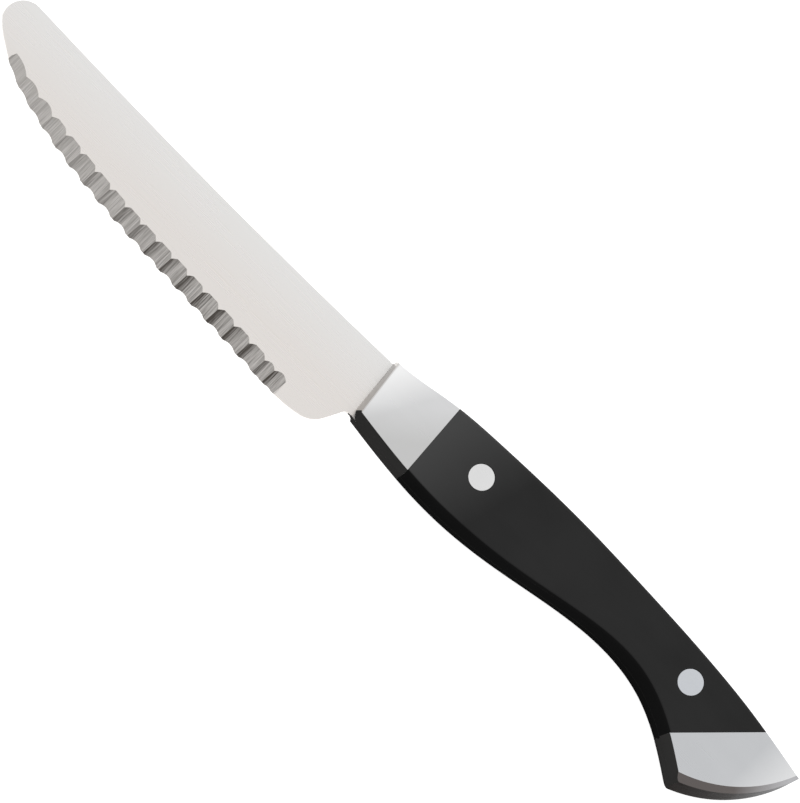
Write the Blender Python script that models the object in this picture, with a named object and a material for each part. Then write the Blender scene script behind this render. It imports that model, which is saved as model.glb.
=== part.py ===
"""Steak knife: a round-tipped blade with a scalloped edge, a full tang, two black handle scales
held by two-piece rivets, and a steel bolster in two halves at each end of the handle.

Metres, +Z up. The knife lies on its right side: +X runs from the tip to the butt, +Y from the
cutting edge to the spine and +Z out of the left side, which carries the scallops. The pieces are
drawn in the knife's own layout, whose zero is where the rivet line meets the bolster's front, half
way through the steel. The empty knife_layout then sets that layout on its lowest face, centred.
"""

import math

import bmesh
import bpy
import numpy as np
from mathutils import Vector

MM = 0.001

# Steel stock and the blade's outline
BLADE_LENGTH = 114.2 * MM  # tip to the bolster's front, along the rivet line
STEEL_THICKNESS = 2.0 * MM  # blade stock and tang
TIP_RADIUS = 5.0 * MM
TIP_SPINE_HEIGHT = 5.1 * MM  # spine above the rivet line, where the tip's arc starts
BLADE_SPINE_HEIGHT = 5.3 * MM  # and where it enters the bolster
SPINE_HOLLOW = 0.85 * MM  # how far the spine dips below a straight line, half way along
EDGE_DEPTH = 18.4 * MM  # the edge's lowest place, below the rivet line
HEEL_SETBACK = 4.25 * MM  # the heel's corner before rounding, ahead of the bolster
HEEL_DEPTH = 16.8 * MM  # that corner, below the rivet line
HEEL_RISE = math.radians(15)  # the edge where it runs into the heel
HEEL_SLANT = math.radians(26.5)  # the heel's back edge, leaning from square
HEEL_RADIUS = 6.4 * MM
NOTCH_RADIUS = 1.2 * MM  # hollow corner where the heel runs into the bolster

# The cutting edge before its scallops: share of the way from the tip to the heel's corner, and
# share of the edge's depth
EDGE_OUTLINE = (
    (0.004, 0.108),
    (0.022, 0.219),
    (0.042, 0.306),
    (0.081, 0.454),
    (0.171, 0.660),
    (0.305, 0.820),
    (0.533, 0.924),
    (0.762, 0.974),
    (0.902, 1.000),
    (0.945, 0.986),
)

# Thickness left by the flat grinds
BOLSTER_SPINE_THICKNESS = 1.9 * MM
HEEL_EDGE_THICKNESS = 0.70 * MM
TIP_THICKNESS = 0.90 * MM  # at the tip, level with the foot of its arc

# Scallops, ground on the left side only
SCALLOP_PITCH = 4.98 * MM
SCALLOP_START = 8.5 * MM  # first tooth behind the tip
SCALLOP_END = 14.5 * MM  # last tooth ahead of the bolster
SCALLOP_DEPTH = 0.17 * MM  # hollow of one scallop between its two teeth
SCALLOP_HEIGHT_TIP = 2.1 * MM  # band height between two scallops
SCALLOP_HEIGHT_HEEL = 3.65 * MM
SCALLOP_HEIGHT_FULL_AT = 40 * MM  # behind the tip, where the band is at full height
SCALLOP_LEAN = math.radians(4)
TOOTH_THICKNESS = 0.08 * MM
NARROW_SCALLOP_SHARE = 0.465  # of what is left for the last two scallops

# The handle's outline, on the edge of its side faces: share of the handle's length from the front,
# and height from the rivet line as a share of the handle's depth
HANDLE_LENGTH = 125.0 * MM  # the bolster's front to the butt's point
HANDLE_DEPTH = 19.4 * MM  # spine to belly, where the grip is deepest
HANDLE_SPINE_OUTLINE = (
    (0.000, 0.250),
    (0.036, 0.276),
    (0.112, 0.363),
    (0.246, 0.438),
    (0.438, 0.485),
    (0.640, 0.423),
    (0.841, 0.322),
    (1.000, 0.155),
)
HANDLE_BELLY_OUTLINE = (
    (0.000, -0.446),
    (0.095, -0.523),
    (0.201, -0.567),
    (0.367, -0.477),
    (0.508, -0.302),
    (0.617, -0.227),
    (0.700, -0.299),
    (0.773, -0.503),
    (0.854, -0.845),
)
SIDE_BULGE = 0.95 * MM  # the narrow sides stand out this far at the tang
HANDLE_THICKNESS_FRONT = 11.7 * MM
HANDLE_THICKNESS_WAIST = 9.4 * MM
HANDLE_THICKNESS_BUTT = 13.6 * MM
THINNING_SHARE = 0.24  # of the handle's length, where it starts to thin
WAIST_SHARE = 0.45  # where it is thinnest
BUTT_LEVEL_SHARE = 0.70  # where its sides become level again

# Bolsters
BOLSTER_LENGTH = 16.9 * MM  # front bolster, along the rivet line
BOLSTER_TILT = math.radians(4.8)  # its front at the steel, from square
BOLSTER_FACE_TILT = math.radians(6.6)  # its front at the side face
SEAM_TILT = math.radians(3.7)  # its seam with the scales
BOLSTER_DRAFT = 0.55 * MM  # how far its front leans back up to the side face
BOLSTER_CORNER = 0.65 * MM  # cut off its front belly corner, measured along its front
BOLSTER_CORNER_ANGLE = math.radians(55)  # that cut, from the knife's length
REAR_SEAM_SETBACK = 17.1 * MM  # rear seam ahead of the butt's point, on the rivet line
REAR_SEAM_ANGLE = math.radians(46)
BUTT_RADIUS = 33.0 * MM
BUTT_CHAMFER_BEAK = 1.7 * MM  # the chamfer's width at the beak
BUTT_CHAMFER_POINT = 0.85 * MM  # and at the butt's point
BUTT_CHAMFER_DEPTH = 1.4 * MM
METAL_EDGE_RADIUS = 0.3 * MM
SCALE_EDGE_RADIUS = 0.9 * MM

# Rivets: a socket half from the left and a post half from the right
RIVET_HEAD_RADIUS = 3.0 * MM
RIVET_HEAD_DEPTH = 1.6 * MM
RIVET_TRIM = 0.8 * MM  # what is ground off a head to make it flush with the side face
RIVET_TUBE_RADIUS = 1.7 * MM
RIVET_POST_RADIUS = 1.05 * MM
RIVET_SOCKET_ROOF = 0.9 * MM  # metal left over the blind end of the tube's bore
RIVET_END_GAP = 0.5 * MM  # between a half's end and the other half's head
FRONT_RIVET_INSET = 13.2 * MM  # behind the scales' front seam
REAR_RIVET_INSET = 14.4 * MM  # ahead of their rear seam
RIVET_RISE = 1.3 * MM  # above the middle of the handle's height

# Blind pins that set each pair of bolster halves on the tang
PIN_RADIUS = 1.0 * MM
PIN_DEPTH = 2.6 * MM  # into each bolster half
FRONT_PIN_SPREAD = 8.0 * MM
REAR_PIN_SPREAD = 7.0 * MM
REAR_PIN_INSET = 7.0 * MM  # behind the rear seam

# Clearances between pieces
SEAM_GAP = 0.2 * MM
HOLE_GAP = 0.15 * MM

# How finely curves are drawn
HANDLE_STEPS = 44
WALL_STEPS = 6
ROUND_STEPS = 3
ARC_STEPS = 14
EDGE_STEPS = 40
SCALLOP_STEPS = 7
CIRCLE_STEPS = 28
OVERHANG = 6 * MM  # how far a cutter reaches past what it cuts
FAR = EDGE_DEPTH + OVERHANG  # beyond any outline, for the sides of a cutter
CHAMFER_OVERHANG = 0.5 * MM
HALVINGS = 40  # of the stretch searched for a crossing
BUTT_ARC_SPARE = math.radians(17)  # how far the butt's cutter runs on past the arc's ends


def smooth_curve(points):
    """A function of x: the natural cubic through the points, running straight past its ends."""
    x, y = (np.array(side, float) for side in zip(*points))
    step = np.diff(x)
    slope = np.diff(y) / step
    rows = np.eye(len(x))
    bend = np.zeros(len(x))
    for i in range(1, len(x) - 1):
        rows[i, i - 1 : i + 2] = step[i - 1], 2 * (step[i - 1] + step[i]), step[i]
        bend[i] = 6 * (slope[i] - slope[i - 1])
    bend = np.linalg.solve(rows, bend)

    def height(where):
        inside = min(max(where, x[0]), x[-1])
        i = min(max(int(np.searchsorted(x, inside)) - 1, 0), len(step) - 1)
        width = step[i]
        left = (x[i + 1] - inside) / width
        right = (inside - x[i]) / width
        value = left * y[i] + right * y[i + 1]
        value += ((left**3 - left) * bend[i] + (right**3 - right) * bend[i + 1]) * width**2 / 6
        rise = slope[i] + (
            (1 - 3 * left**2) * bend[i] + (3 * right**2 - 1) * bend[i + 1]
        ) * width / 6
        return value + rise * (where - inside)

    return height


def ease(where, start, end):
    """0 before start, 1 after end, and a level-ended S between."""
    share = min(max((where - start) / (end - start), 0), 1)
    return 0.5 - 0.5 * math.cos(math.pi * share)


def arc(centre, radius, start, end, steps):
    """Points on a circle from the angle start to the angle end."""
    return [
        centre + radius * Vector((math.cos(angle), math.sin(angle)))
        for angle in np.linspace(start, end, steps + 1)
    ]


def fillet(before, corner, after, radius, steps):
    """Points that round the corner between two straight runs."""
    back = (before - corner).normalized()
    ahead = (after - corner).normalized()
    half = back.angle(ahead) / 2
    middle = corner + (back + ahead).normalized() * radius / math.sin(half)
    first = corner + back * radius / math.tan(half) - middle
    last = corner + ahead * radius / math.tan(half) - middle
    turn = first.angle_signed(last)
    start = math.atan2(first.y, first.x)
    return arc(middle, radius, start, start - turn, steps)


def slanted(x, y, angle):
    """The point at height y on a line through (x, 0) that leans by angle from square."""
    return Vector((x - y * math.tan(angle), y))


# The handle's surfaces, as functions of the distance behind its front


def handle_points(outline):
    return [Vector((along * HANDLE_LENGTH, up * HANDLE_DEPTH)) for along, up in outline]


SPINE_POINTS = handle_points(HANDLE_SPINE_OUTLINE)
BELLY_POINTS = handle_points(HANDLE_BELLY_OUTLINE)
spine_edge = smooth_curve(SPINE_POINTS)
belly_edge = smooth_curve(BELLY_POINTS)


def half_thickness(x):
    thinning = ease(x, THINNING_SHARE * HANDLE_LENGTH, WAIST_SHARE * HANDLE_LENGTH)
    filling = ease(x, WAIST_SHARE * HANDLE_LENGTH, BUTT_LEVEL_SHARE * HANDLE_LENGTH)
    waist = HANDLE_THICKNESS_FRONT + (HANDLE_THICKNESS_WAIST - HANDLE_THICKNESS_FRONT) * thinning
    return (waist + (HANDLE_THICKNESS_BUTT - HANDLE_THICKNESS_WAIST) * filling) / 2


def bulge(x, z):
    return SIDE_BULGE * (1 - (z / half_thickness(x)) ** 2)


def handle_middle(x):
    return (spine_edge(x) + belly_edge(x)) / 2


def butt_centre():
    """Centre of the butt's arc, which joins the last points of the two outlines."""
    point, beak = SPINE_POINTS[-1], BELLY_POINTS[-1]
    chord = point - beak
    reach = math.sqrt(BUTT_RADIUS**2 - (chord.length / 2) ** 2)
    inward = Vector((-chord.y, chord.x)).normalized()
    return (point + beak) / 2 + inward * reach


BUTT_CENTRE = butt_centre()


def butt_angle(edge):
    """The angle on the butt's arc where an outline, given as a function of x, runs into it."""
    low, high = BUTT_CENTRE.x, BUTT_CENTRE.x + BUTT_RADIUS
    for _ in range(HALVINGS):
        x = (low + high) / 2
        inside = (Vector((x, edge(x))) - BUTT_CENTRE).length < BUTT_RADIUS
        low, high = (x, high) if inside else (low, x)
    place = Vector((low, edge(low))) - BUTT_CENTRE
    return math.atan2(place.y, place.x)


# The blade's outline and faces

TANG_SPINE_HEIGHT = SPINE_POINTS[0].y + SIDE_BULGE
TANG_BELLY_HEIGHT = BELLY_POINTS[0].y - SIDE_BULGE
TIP = -BLADE_LENGTH
HEEL_CORNER = Vector((-HEEL_SETBACK, -HEEL_DEPTH))
HEEL_TOP = HEEL_CORNER.x + (HEEL_DEPTH + TANG_BELLY_HEIGHT) * math.tan(HEEL_SLANT)
NOTCH = Vector((HEEL_TOP, TANG_BELLY_HEIGHT))
HEEL_ARC = fillet(
    HEEL_CORNER - Vector((math.cos(HEEL_RISE), math.sin(HEEL_RISE))),
    HEEL_CORNER,
    NOTCH,
    HEEL_RADIUS,
    ARC_STEPS,
)
EDGE_POINTS = [
    Vector((TIP + along * (HEEL_CORNER.x - TIP), -down * EDGE_DEPTH))
    for along, down in EDGE_OUTLINE
]
blade_edge = smooth_curve([*EDGE_POINTS, HEEL_ARC[0]])


def blade_spine(x):
    share = x / (TIP + TIP_RADIUS)
    line = BLADE_SPINE_HEIGHT + (TIP_SPINE_HEIGHT - BLADE_SPINE_HEIGHT) * share
    return line - 4 * SPINE_HOLLOW * share * (1 - share)


def grind_plane():
    """a, b and c of z = a + b x + c y, the blade's left face. The right face mirrors it."""
    places = (
        (0, BLADE_SPINE_HEIGHT, BOLSTER_SPINE_THICKNESS / 2),
        (HEEL_CORNER.x, HEEL_CORNER.y, HEEL_EDGE_THICKNESS / 2),
        (TIP, TIP_SPINE_HEIGHT - 2 * TIP_RADIUS, TIP_THICKNESS / 2),
    )
    rows = [(1, x, y) for x, y, _ in places]
    return np.linalg.solve(rows, [z for _, _, z in places])


GRIND = grind_plane()


def face_height(x, y):
    return float(GRIND[0] + GRIND[1] * x + GRIND[2] * y)


def blade_outline():
    """The steel's outline, round from the notch by the tang's belly, butt and spine, then the tip."""
    belly_end = butt_angle(lambda x: belly_edge(x) - SIDE_BULGE)
    spine_end = butt_angle(lambda x: spine_edge(x) + SIDE_BULGE)
    butt = arc(BUTT_CENTRE, BUTT_RADIUS, belly_end, spine_end, ARC_STEPS)
    belly = [
        Vector((x, belly_edge(x) - SIDE_BULGE))
        for x in np.linspace(0, butt[0].x, HANDLE_STEPS)[1:-1]
    ]
    spine = [
        Vector((x, spine_edge(x) + SIDE_BULGE))
        for x in np.linspace(butt[-1].x, 0, HANDLE_STEPS)[1:-1]
    ]
    step = slanted(0, TANG_SPINE_HEIGHT, BOLSTER_TILT)
    front = slanted(0, BLADE_SPINE_HEIGHT, BOLSTER_TILT)
    back = [
        Vector((x, blade_spine(x))) for x in np.linspace(front.x, TIP + TIP_RADIUS, ARC_STEPS)
    ]
    tip_centre = Vector((TIP + TIP_RADIUS, TIP_SPINE_HEIGHT - TIP_RADIUS))
    foot = math.pi + math.asin((tip_centre.y - EDGE_POINTS[0].y) / TIP_RADIUS)
    tip = arc(tip_centre, TIP_RADIUS, math.pi / 2, foot, ARC_STEPS)[1:-1]
    places = edge_places(EDGE_POINTS[0].x, HEEL_ARC[0].x)
    edge = [Vector((x, blade_edge(x))) for x in places[:-1]]
    beyond = Vector((HANDLE_LENGTH, NOTCH.y))
    hollow = fillet(HEEL_CORNER, NOTCH, beyond, NOTCH_RADIUS, ROUND_STEPS)
    return belly + butt + spine + [step] + back + tip + edge + HEEL_ARC + hollow


def edge_places(start, end):
    """Places along the edge, closer together near the tip, where it curves most."""
    return [start + (end - start) * share**2 for share in np.linspace(0, 1, EDGE_STEPS)]


def remove_everything():
    for obj in list(bpy.data.objects):
        bpy.data.objects.remove(obj)


def material(name, colour, roughness, metallic):
    made = bpy.data.materials.new(name)
    made.use_nodes = True
    surface = made.node_tree.nodes["Principled BSDF"]
    surface.inputs["Base Color"].default_value = (*colour, 1)
    surface.inputs["Roughness"].default_value = roughness
    surface.inputs["Metallic"].default_value = metallic
    made.diffuse_color = (*colour, 1)
    return made


def add_object(name, shape, finish=None):
    """An object from a bmesh. One with no finish is a cutter, which the build leaves out."""
    bmesh.ops.recalc_face_normals(shape, faces=shape.faces)
    mesh = bpy.data.meshes.new(name)
    shape.to_mesh(mesh)
    shape.free()
    made = bpy.data.objects.new(name, mesh)
    bpy.context.collection.objects.link(made)
    made.parent = layout
    if finish:
        mesh.materials.append(finish)
    else:
        made.hide_render = True
        made.display_type = "WIRE"
    return made


def stacked(layers):
    """A closed bmesh through rings of as many points each, capped at both ends."""
    shape = bmesh.new()
    rings = [[shape.verts.new(point) for point in ring] for ring in layers]
    for low, high in zip(rings, rings[1:]):
        for i in range(len(low)):
            j = (i + 1) % len(low)
            shape.faces.new((low[i], low[j], high[j], high[i]))
    shape.faces.new(rings[0])
    shape.faces.new(rings[-1])
    return shape


def prism(outlines, side=1):
    """A closed bmesh through plan outlines, each given as (height, points)."""
    return stacked([[(p[0], p[1], side * z) for p in points] for z, points in outlines])


def turned(profile, place, side=1):
    """A closed bmesh turned about a line along Z, from (radius, height) points with the first and
    last on the line."""
    shape = bmesh.new()
    ends = [shape.verts.new((place.x, place.y, side * profile[i][1])) for i in (0, -1)]
    angles = [2 * math.pi * i / CIRCLE_STEPS for i in range(CIRCLE_STEPS)]
    rings = [
        [
            shape.verts.new((place.x + r * math.cos(a), place.y + r * math.sin(a), side * z))
            for a in angles
        ]
        for r, z in profile[1:-1]
    ]
    for i in range(CIRCLE_STEPS):
        j = (i + 1) % CIRCLE_STEPS
        shape.faces.new((ends[0], rings[0][i], rings[0][j]))
        shape.faces.new((ends[1], rings[-1][i], rings[-1][j]))
        for low, high in zip(rings, rings[1:]):
            shape.faces.new((low[i], low[j], high[j], high[i]))
    return shape


def cylinder(place, radius, low, high, side=1):
    return turned([(0, low), (radius, low), (radius, high), (0, high)], place, side)


def boolean(target, cutter, operation="DIFFERENCE"):
    change = target.modifiers.new(f"{operation.lower()} {cutter.name}", "BOOLEAN")
    change.operation = operation
    change.solver = "EXACT"
    change.object = cutter


def smooth_shading(target, angle=math.radians(30)):
    target.data.shade_smooth()
    target.data.set_sharp_from_angle(angle=angle)


# Pieces of the handle, each half cut from the same long body

SIDES = {"left": 1, "right": -1}
INNER_FACE = STEEL_THICKNESS / 2 + SEAM_GAP


def handle_stations():
    return np.linspace(-OVERHANG, HANDLE_LENGTH + OVERHANG, HANDLE_STEPS + 1)


def section(x, radius):
    """Half of the handle's cross-section at x, from the tang round the belly, face and spine."""
    half = half_thickness(x)
    wall = half - radius
    points = [(bulge(x, z), z) for z in np.linspace(INNER_FACE, wall, WALL_STEPS + 1)]
    inset = points[-1][0] - radius
    for angle in np.linspace(0, math.pi / 2, ROUND_STEPS + 1)[1:]:
        points.append((inset + radius * math.cos(angle), wall + radius * math.sin(angle)))
    belly = [(x, belly_edge(x) - out, z) for out, z in points]
    spine = [(x, spine_edge(x) + out, z) for out, z in reversed(points)]
    return belly + spine


def half_handle(name, radius, side, finish):
    rings = [[(x, y, side * z) for x, y, z in section(x, radius)] for x in handle_stations()]
    return add_object(name, stacked(rings), finish)


def face_block(side):
    """All that lies outside one side face of the handle. It trims the rivets flush."""
    rings = []
    for x in handle_stations():
        low, high = side * half_thickness(x), side * (half_thickness(x) + OVERHANG)
        rings.append([(x, -FAR, low), (x, FAR, low), (x, FAR, high), (x, -FAR, high)])
    return stacked(rings)


REAR_SEAM_LEAN = REAR_SEAM_ANGLE - math.pi / 2
REAR_SEAM_AT = HANDLE_LENGTH - REAR_SEAM_SETBACK
REAR_SEAM_SLOT = SEAM_GAP / math.sin(REAR_SEAM_ANGLE)


def bolster_front(inset, tilt):
    """The front bolster's front in plan, down to its cut corner, for a line through inset."""
    top = slanted(inset, FAR, tilt)
    corner = slanted(inset, BELLY_POINTS[0].y + BOLSTER_CORNER, tilt)
    cut = Vector((math.cos(BOLSTER_CORNER_ANGLE), -math.sin(BOLSTER_CORNER_ANGLE)))
    return [top, corner, corner + cut * BOLSTER_LENGTH]


def bolster_block(side):
    """From the front bolster's front, which leans back, to its seam with the scales."""
    seam = [slanted(BOLSTER_LENGTH, y, SEAM_TILT) for y in (-FAR, FAR)]
    steel = bolster_front(0, BOLSTER_TILT) + seam
    face = bolster_front(BOLSTER_DRAFT, BOLSTER_FACE_TILT) + seam
    top = HANDLE_THICKNESS_FRONT / 2
    past = [face[i] + (face[i] - steel[i]) * (CHAMFER_OVERHANG / top) for i in range(len(face))]
    return prism([(0, steel), (top + CHAMFER_OVERHANG, past)], side)


def scale_block(side):
    front = BOLSTER_LENGTH + SEAM_GAP
    rear = REAR_SEAM_AT - REAR_SEAM_SLOT
    outline = [
        slanted(front, FAR, SEAM_TILT),
        slanted(front, -FAR, SEAM_TILT),
        slanted(rear, -FAR, REAR_SEAM_LEAN),
        slanted(rear, FAR, REAR_SEAM_LEAN),
    ]
    return prism([(0, outline), (HANDLE_THICKNESS_BUTT, outline)], side)


def butt_block(side):
    """From the rear seam to the butt's arc, with the chamfer that narrows along the arc."""
    beak, point = butt_angle(belly_edge), butt_angle(spine_edge)
    outer, inner = [], []
    for angle in np.linspace(beak - BUTT_ARC_SPARE, point + BUTT_ARC_SPARE, 2 * ARC_STEPS):
        out = Vector((math.cos(angle), math.sin(angle)))
        share = min(max((angle - beak) / (point - beak), 0), 1)
        width = BUTT_CHAMFER_BEAK + (BUTT_CHAMFER_POINT - BUTT_CHAMFER_BEAK) * share
        inset = width * (1 + CHAMFER_OVERHANG / BUTT_CHAMFER_DEPTH)
        outer.append(BUTT_CENTRE + out * BUTT_RADIUS)
        inner.append(BUTT_CENTRE + out * (BUTT_RADIUS - inset))
    seam = [slanted(REAR_SEAM_AT, y, REAR_SEAM_LEAN) for y in (FAR, -FAR)]
    top = HANDLE_THICKNESS_BUTT / 2
    levels = [
        (0, outer + seam),
        (top - BUTT_CHAMFER_DEPTH, outer + seam),
        (top + CHAMFER_OVERHANG, inner + seam),
    ]
    return prism(levels, side)


def rivet_place(x):
    return Vector((x, handle_middle(x) + RIVET_RISE))


RIVETS = {
    "front": rivet_place(BOLSTER_LENGTH + FRONT_RIVET_INSET),
    "rear": rivet_place(REAR_SEAM_AT - REAR_RIVET_INSET),
}


def pin_places():
    front = slanted(BOLSTER_LENGTH / 2, handle_middle(BOLSTER_LENGTH / 2), BOLSTER_TILT)
    along = Vector((-math.sin(BOLSTER_TILT), math.cos(BOLSTER_TILT))) * FRONT_PIN_SPREAD / 2
    seam = Vector((math.cos(REAR_SEAM_ANGLE), math.sin(REAR_SEAM_ANGLE)))
    middle = slanted(REAR_SEAM_AT, handle_middle(REAR_SEAM_AT), REAR_SEAM_LEAN)
    rear = middle + Vector((seam.y, -seam.x)) * REAR_PIN_INSET
    return {
        "front_bolster_pin_upper": front + along,
        "front_bolster_pin_lower": front - along,
        "rear_bolster_pin_upper": rear + seam * REAR_PIN_SPREAD / 2,
        "rear_bolster_pin_lower": rear - seam * REAR_PIN_SPREAD / 2,
    }


PINS = pin_places()
PIN_HALF_LENGTH = INNER_FACE + PIN_DEPTH


def pin_holes(name, end):
    """One cutter for each blind pin at this end of the handle."""
    reach = PIN_HALF_LENGTH + SEAM_GAP
    return [
        add_object(f"{name} {pin} hole", cylinder(place, PIN_RADIUS + HOLE_GAP, -reach, reach))
        for pin, place in PINS.items()
        if pin.startswith(end)
    ]


def rivet_hole(place, side):
    """A scale's stepped hole: a narrow way for the tube and a wide seat for the head."""
    seat = half_thickness(place.x) - RIVET_HEAD_DEPTH - SEAM_GAP
    tube = RIVET_TUBE_RADIUS + HOLE_GAP
    head = RIVET_HEAD_RADIUS + HOLE_GAP
    top = seat + OVERHANG
    return turned([(0, 0), (tube, 0), (tube, seat), (head, seat), (head, top), (0, top)], place, side)


def make_bolster(name, end, block, side, finish):
    piece = half_handle(name, METAL_EDGE_RADIUS, side, finish)
    boolean(piece, add_object(f"{name} outline", block(side)), "INTERSECT")
    for hole in pin_holes(name, end):
        boolean(piece, hole)
    smooth_shading(piece)


def make_scale(name, side, finish):
    piece = half_handle(name, SCALE_EDGE_RADIUS, side, finish)
    boolean(piece, add_object(f"{name} outline", scale_block(side)), "INTERSECT")
    for end, place in RIVETS.items():
        boolean(piece, add_object(f"{name} {end} rivet hole", rivet_hole(place, side)))
    smooth_shading(piece)


def make_rivet(end, place, finish):
    """The socket half, whose tube comes from the left face, and the post that enters it."""
    half = half_thickness(place.x)
    under_head = half - RIVET_HEAD_DEPTH
    proud = half + RIVET_TRIM
    bore = RIVET_POST_RADIUS + HOLE_GAP
    roof = half - RIVET_SOCKET_ROOF
    tube_end = -(under_head - RIVET_END_GAP)
    socket_profile = [
        (0, roof),
        (bore, roof),
        (bore, tube_end),
        (RIVET_TUBE_RADIUS, tube_end),
        (RIVET_TUBE_RADIUS, under_head),
        (RIVET_HEAD_RADIUS, under_head),
        (RIVET_HEAD_RADIUS, proud),
        (0, proud),
    ]
    post_end = -(roof - RIVET_END_GAP)
    post_profile = [
        (0, post_end),
        (RIVET_POST_RADIUS, post_end),
        (RIVET_POST_RADIUS, under_head),
        (RIVET_HEAD_RADIUS, under_head),
        (RIVET_HEAD_RADIUS, proud),
        (0, proud),
    ]
    halves = (("socket", socket_profile, 1), ("post", post_profile, -1))
    for kind, profile, side in halves:
        name = f"{end}_rivet_{kind}"
        piece = add_object(name, turned(profile, place, side), finish)
        boolean(piece, add_object(f"{name} trim", face_block(side)))
        smooth_shading(piece)


def make_pins(finish):
    for name, place in PINS.items():
        shape = cylinder(place, PIN_RADIUS, -PIN_HALF_LENGTH, PIN_HALF_LENGTH)
        smooth_shading(add_object(name, shape, finish))


# The blade


def grind_block(side):
    """What a flat grind takes off one side, from the bolster's front to past the tip."""
    plan = [
        slanted(0, -FAR, BOLSTER_TILT),
        slanted(0, FAR, BOLSTER_TILT),
        Vector((TIP - OVERHANG, FAR)),
        Vector((TIP - OVERHANG, -FAR)),
    ]
    low = [(p.x, p.y, side * face_height(p.x, p.y)) for p in plan]
    high = [(p.x, p.y, side * OVERHANG) for p in plan]
    return stacked([low, high])


def scallop_spans():
    """Start and end of each scallop along the blade: equal ones, then a narrow and a wider one."""
    start = TIP + SCALLOP_START
    run = BLADE_LENGTH - SCALLOP_START - SCALLOP_END
    count = max(int(run / SCALLOP_PITCH) - 1, 1)
    teeth = [start + i * SCALLOP_PITCH for i in range(count + 1)]
    rest = start + run - teeth[-1]
    teeth += [teeth[-1] + rest * NARROW_SCALLOP_SHARE, start + run]
    return list(zip(teeth, teeth[1:]))


def scallop_stations():
    """Places along the edge, each with how far the scallops are hollowed there."""
    spans = scallop_spans()
    stations = []
    for start, end in spans:
        depth = SCALLOP_DEPTH * min((end - start) / SCALLOP_PITCH, 1)
        for share in np.linspace(0, 1, SCALLOP_STEPS + 1)[:-1]:
            stations.append((start + (end - start) * share, depth * 4 * share * (1 - share)))
    return [*stations, (spans[-1][1], 0)]


def scallop_height(x):
    grown = ease(x, TIP, TIP + SCALLOP_HEIGHT_FULL_AT)
    return SCALLOP_HEIGHT_TIP + (SCALLOP_HEIGHT_HEEL - SCALLOP_HEIGHT_TIP) * grown


def scallop_block():
    """One cutter for all the scallops. Each ring runs across the edge, on a line that rises from
    the right face at the edge to the left face at the top of the band."""
    lean = Vector((math.sin(SCALLOP_LEAN), math.cos(SCALLOP_LEAN)))
    rings = []
    for x, hollow in scallop_stations():
        foot = Vector((x, blade_edge(x)))
        height = scallop_height(x)
        top = foot + lean * height
        low = TOOTH_THICKNESS - face_height(foot.x, foot.y)
        rise = (face_height(top.x, top.y) - low) / height
        near, far = foot - lean * SCALLOP_PITCH, foot + lean * (height + SCALLOP_PITCH)
        rings.append(
            [
                (near.x, near.y, low - rise * SCALLOP_PITCH - hollow),
                (near.x, near.y, OVERHANG),
                (far.x, far.y, OVERHANG),
                (far.x, far.y, low + rise * (height + SCALLOP_PITCH) - hollow),
            ]
        )
    return stacked(rings)


def make_blade(finish):
    outline = blade_outline()
    half = STEEL_THICKNESS / 2
    piece = add_object("blade_and_tang", prism([(-half, outline), (half, outline)]), finish)
    for word, side in SIDES.items():
        boolean(piece, add_object(f"{word} grind", grind_block(side)))
    boolean(piece, add_object("scallops", scallop_block()))
    for end, place in RIVETS.items():
        hole = cylinder(place, RIVET_TUBE_RADIUS + HOLE_GAP, -OVERHANG, OVERHANG)
        boolean(piece, add_object(f"tang {end} rivet hole", hole))
    for end in ("front", "rear"):
        for hole in pin_holes("tang", end):
            boolean(piece, hole)


def settle():
    """Moves the layout so that zero is under the middle of the whole knife, at its lowest level."""
    bpy.context.view_layer.update()
    graph = bpy.context.evaluated_depsgraph_get()
    corners = [
        Vector(corner)
        for obj in bpy.data.objects
        if obj.type == "MESH" and not obj.hide_render
        for corner in obj.evaluated_get(graph).bound_box
    ]
    low = [min(corner[axis] for corner in corners) for axis in range(3)]
    high = [max(corner[axis] for corner in corners) for axis in range(3)]
    layout.location = (-(low[0] + high[0]) / 2, -(low[1] + high[1]) / 2, -low[2])
    bpy.context.view_layer.update()


remove_everything()
layout = bpy.data.objects.new("knife_layout", None)
bpy.context.collection.objects.link(layout)

blade_steel = material("blade_steel", (0.76, 0.75, 0.73), 0.28, 1.0)
bolster_steel = material("bolster_steel", (0.68, 0.69, 0.70), 0.36, 1.0)
black_plastic = material("black_plastic", (0.020, 0.020, 0.021), 0.42, 0.0)
rivet_metal = material("rivet_metal", (0.72, 0.73, 0.75), 0.34, 1.0)

make_blade(blade_steel)
for word, side in SIDES.items():
    make_bolster(f"front_bolster_{word}", "front", bolster_block, side, bolster_steel)
    make_scale(f"handle_scale_{word}", side, black_plastic)
    make_bolster(f"rear_bolster_{word}", "rear", butt_block, side, bolster_steel)
for end, place in RIVETS.items():
    make_rivet(end, place, rivet_metal)
make_pins(bolster_steel)
settle()
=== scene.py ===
"""Steak knife: the detailed pieces, their finishes and the studio, over the knife's CAD frame.

The pieces are drawn in the knife's own layout, a unit to the millimetre, because fine bevels and
cuts get lost at true size. Zero is where the rivet line meets the bolster's front, half way through
the steel: -X to the tip, +Y to the spine, +Z out of the left side. Each piece's last step brings it
to its true size and place.
"""

import math
from contextlib import contextmanager
from types import SimpleNamespace

import bmesh
import bpy
import numpy as np
from mathutils import Matrix, Vector


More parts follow.
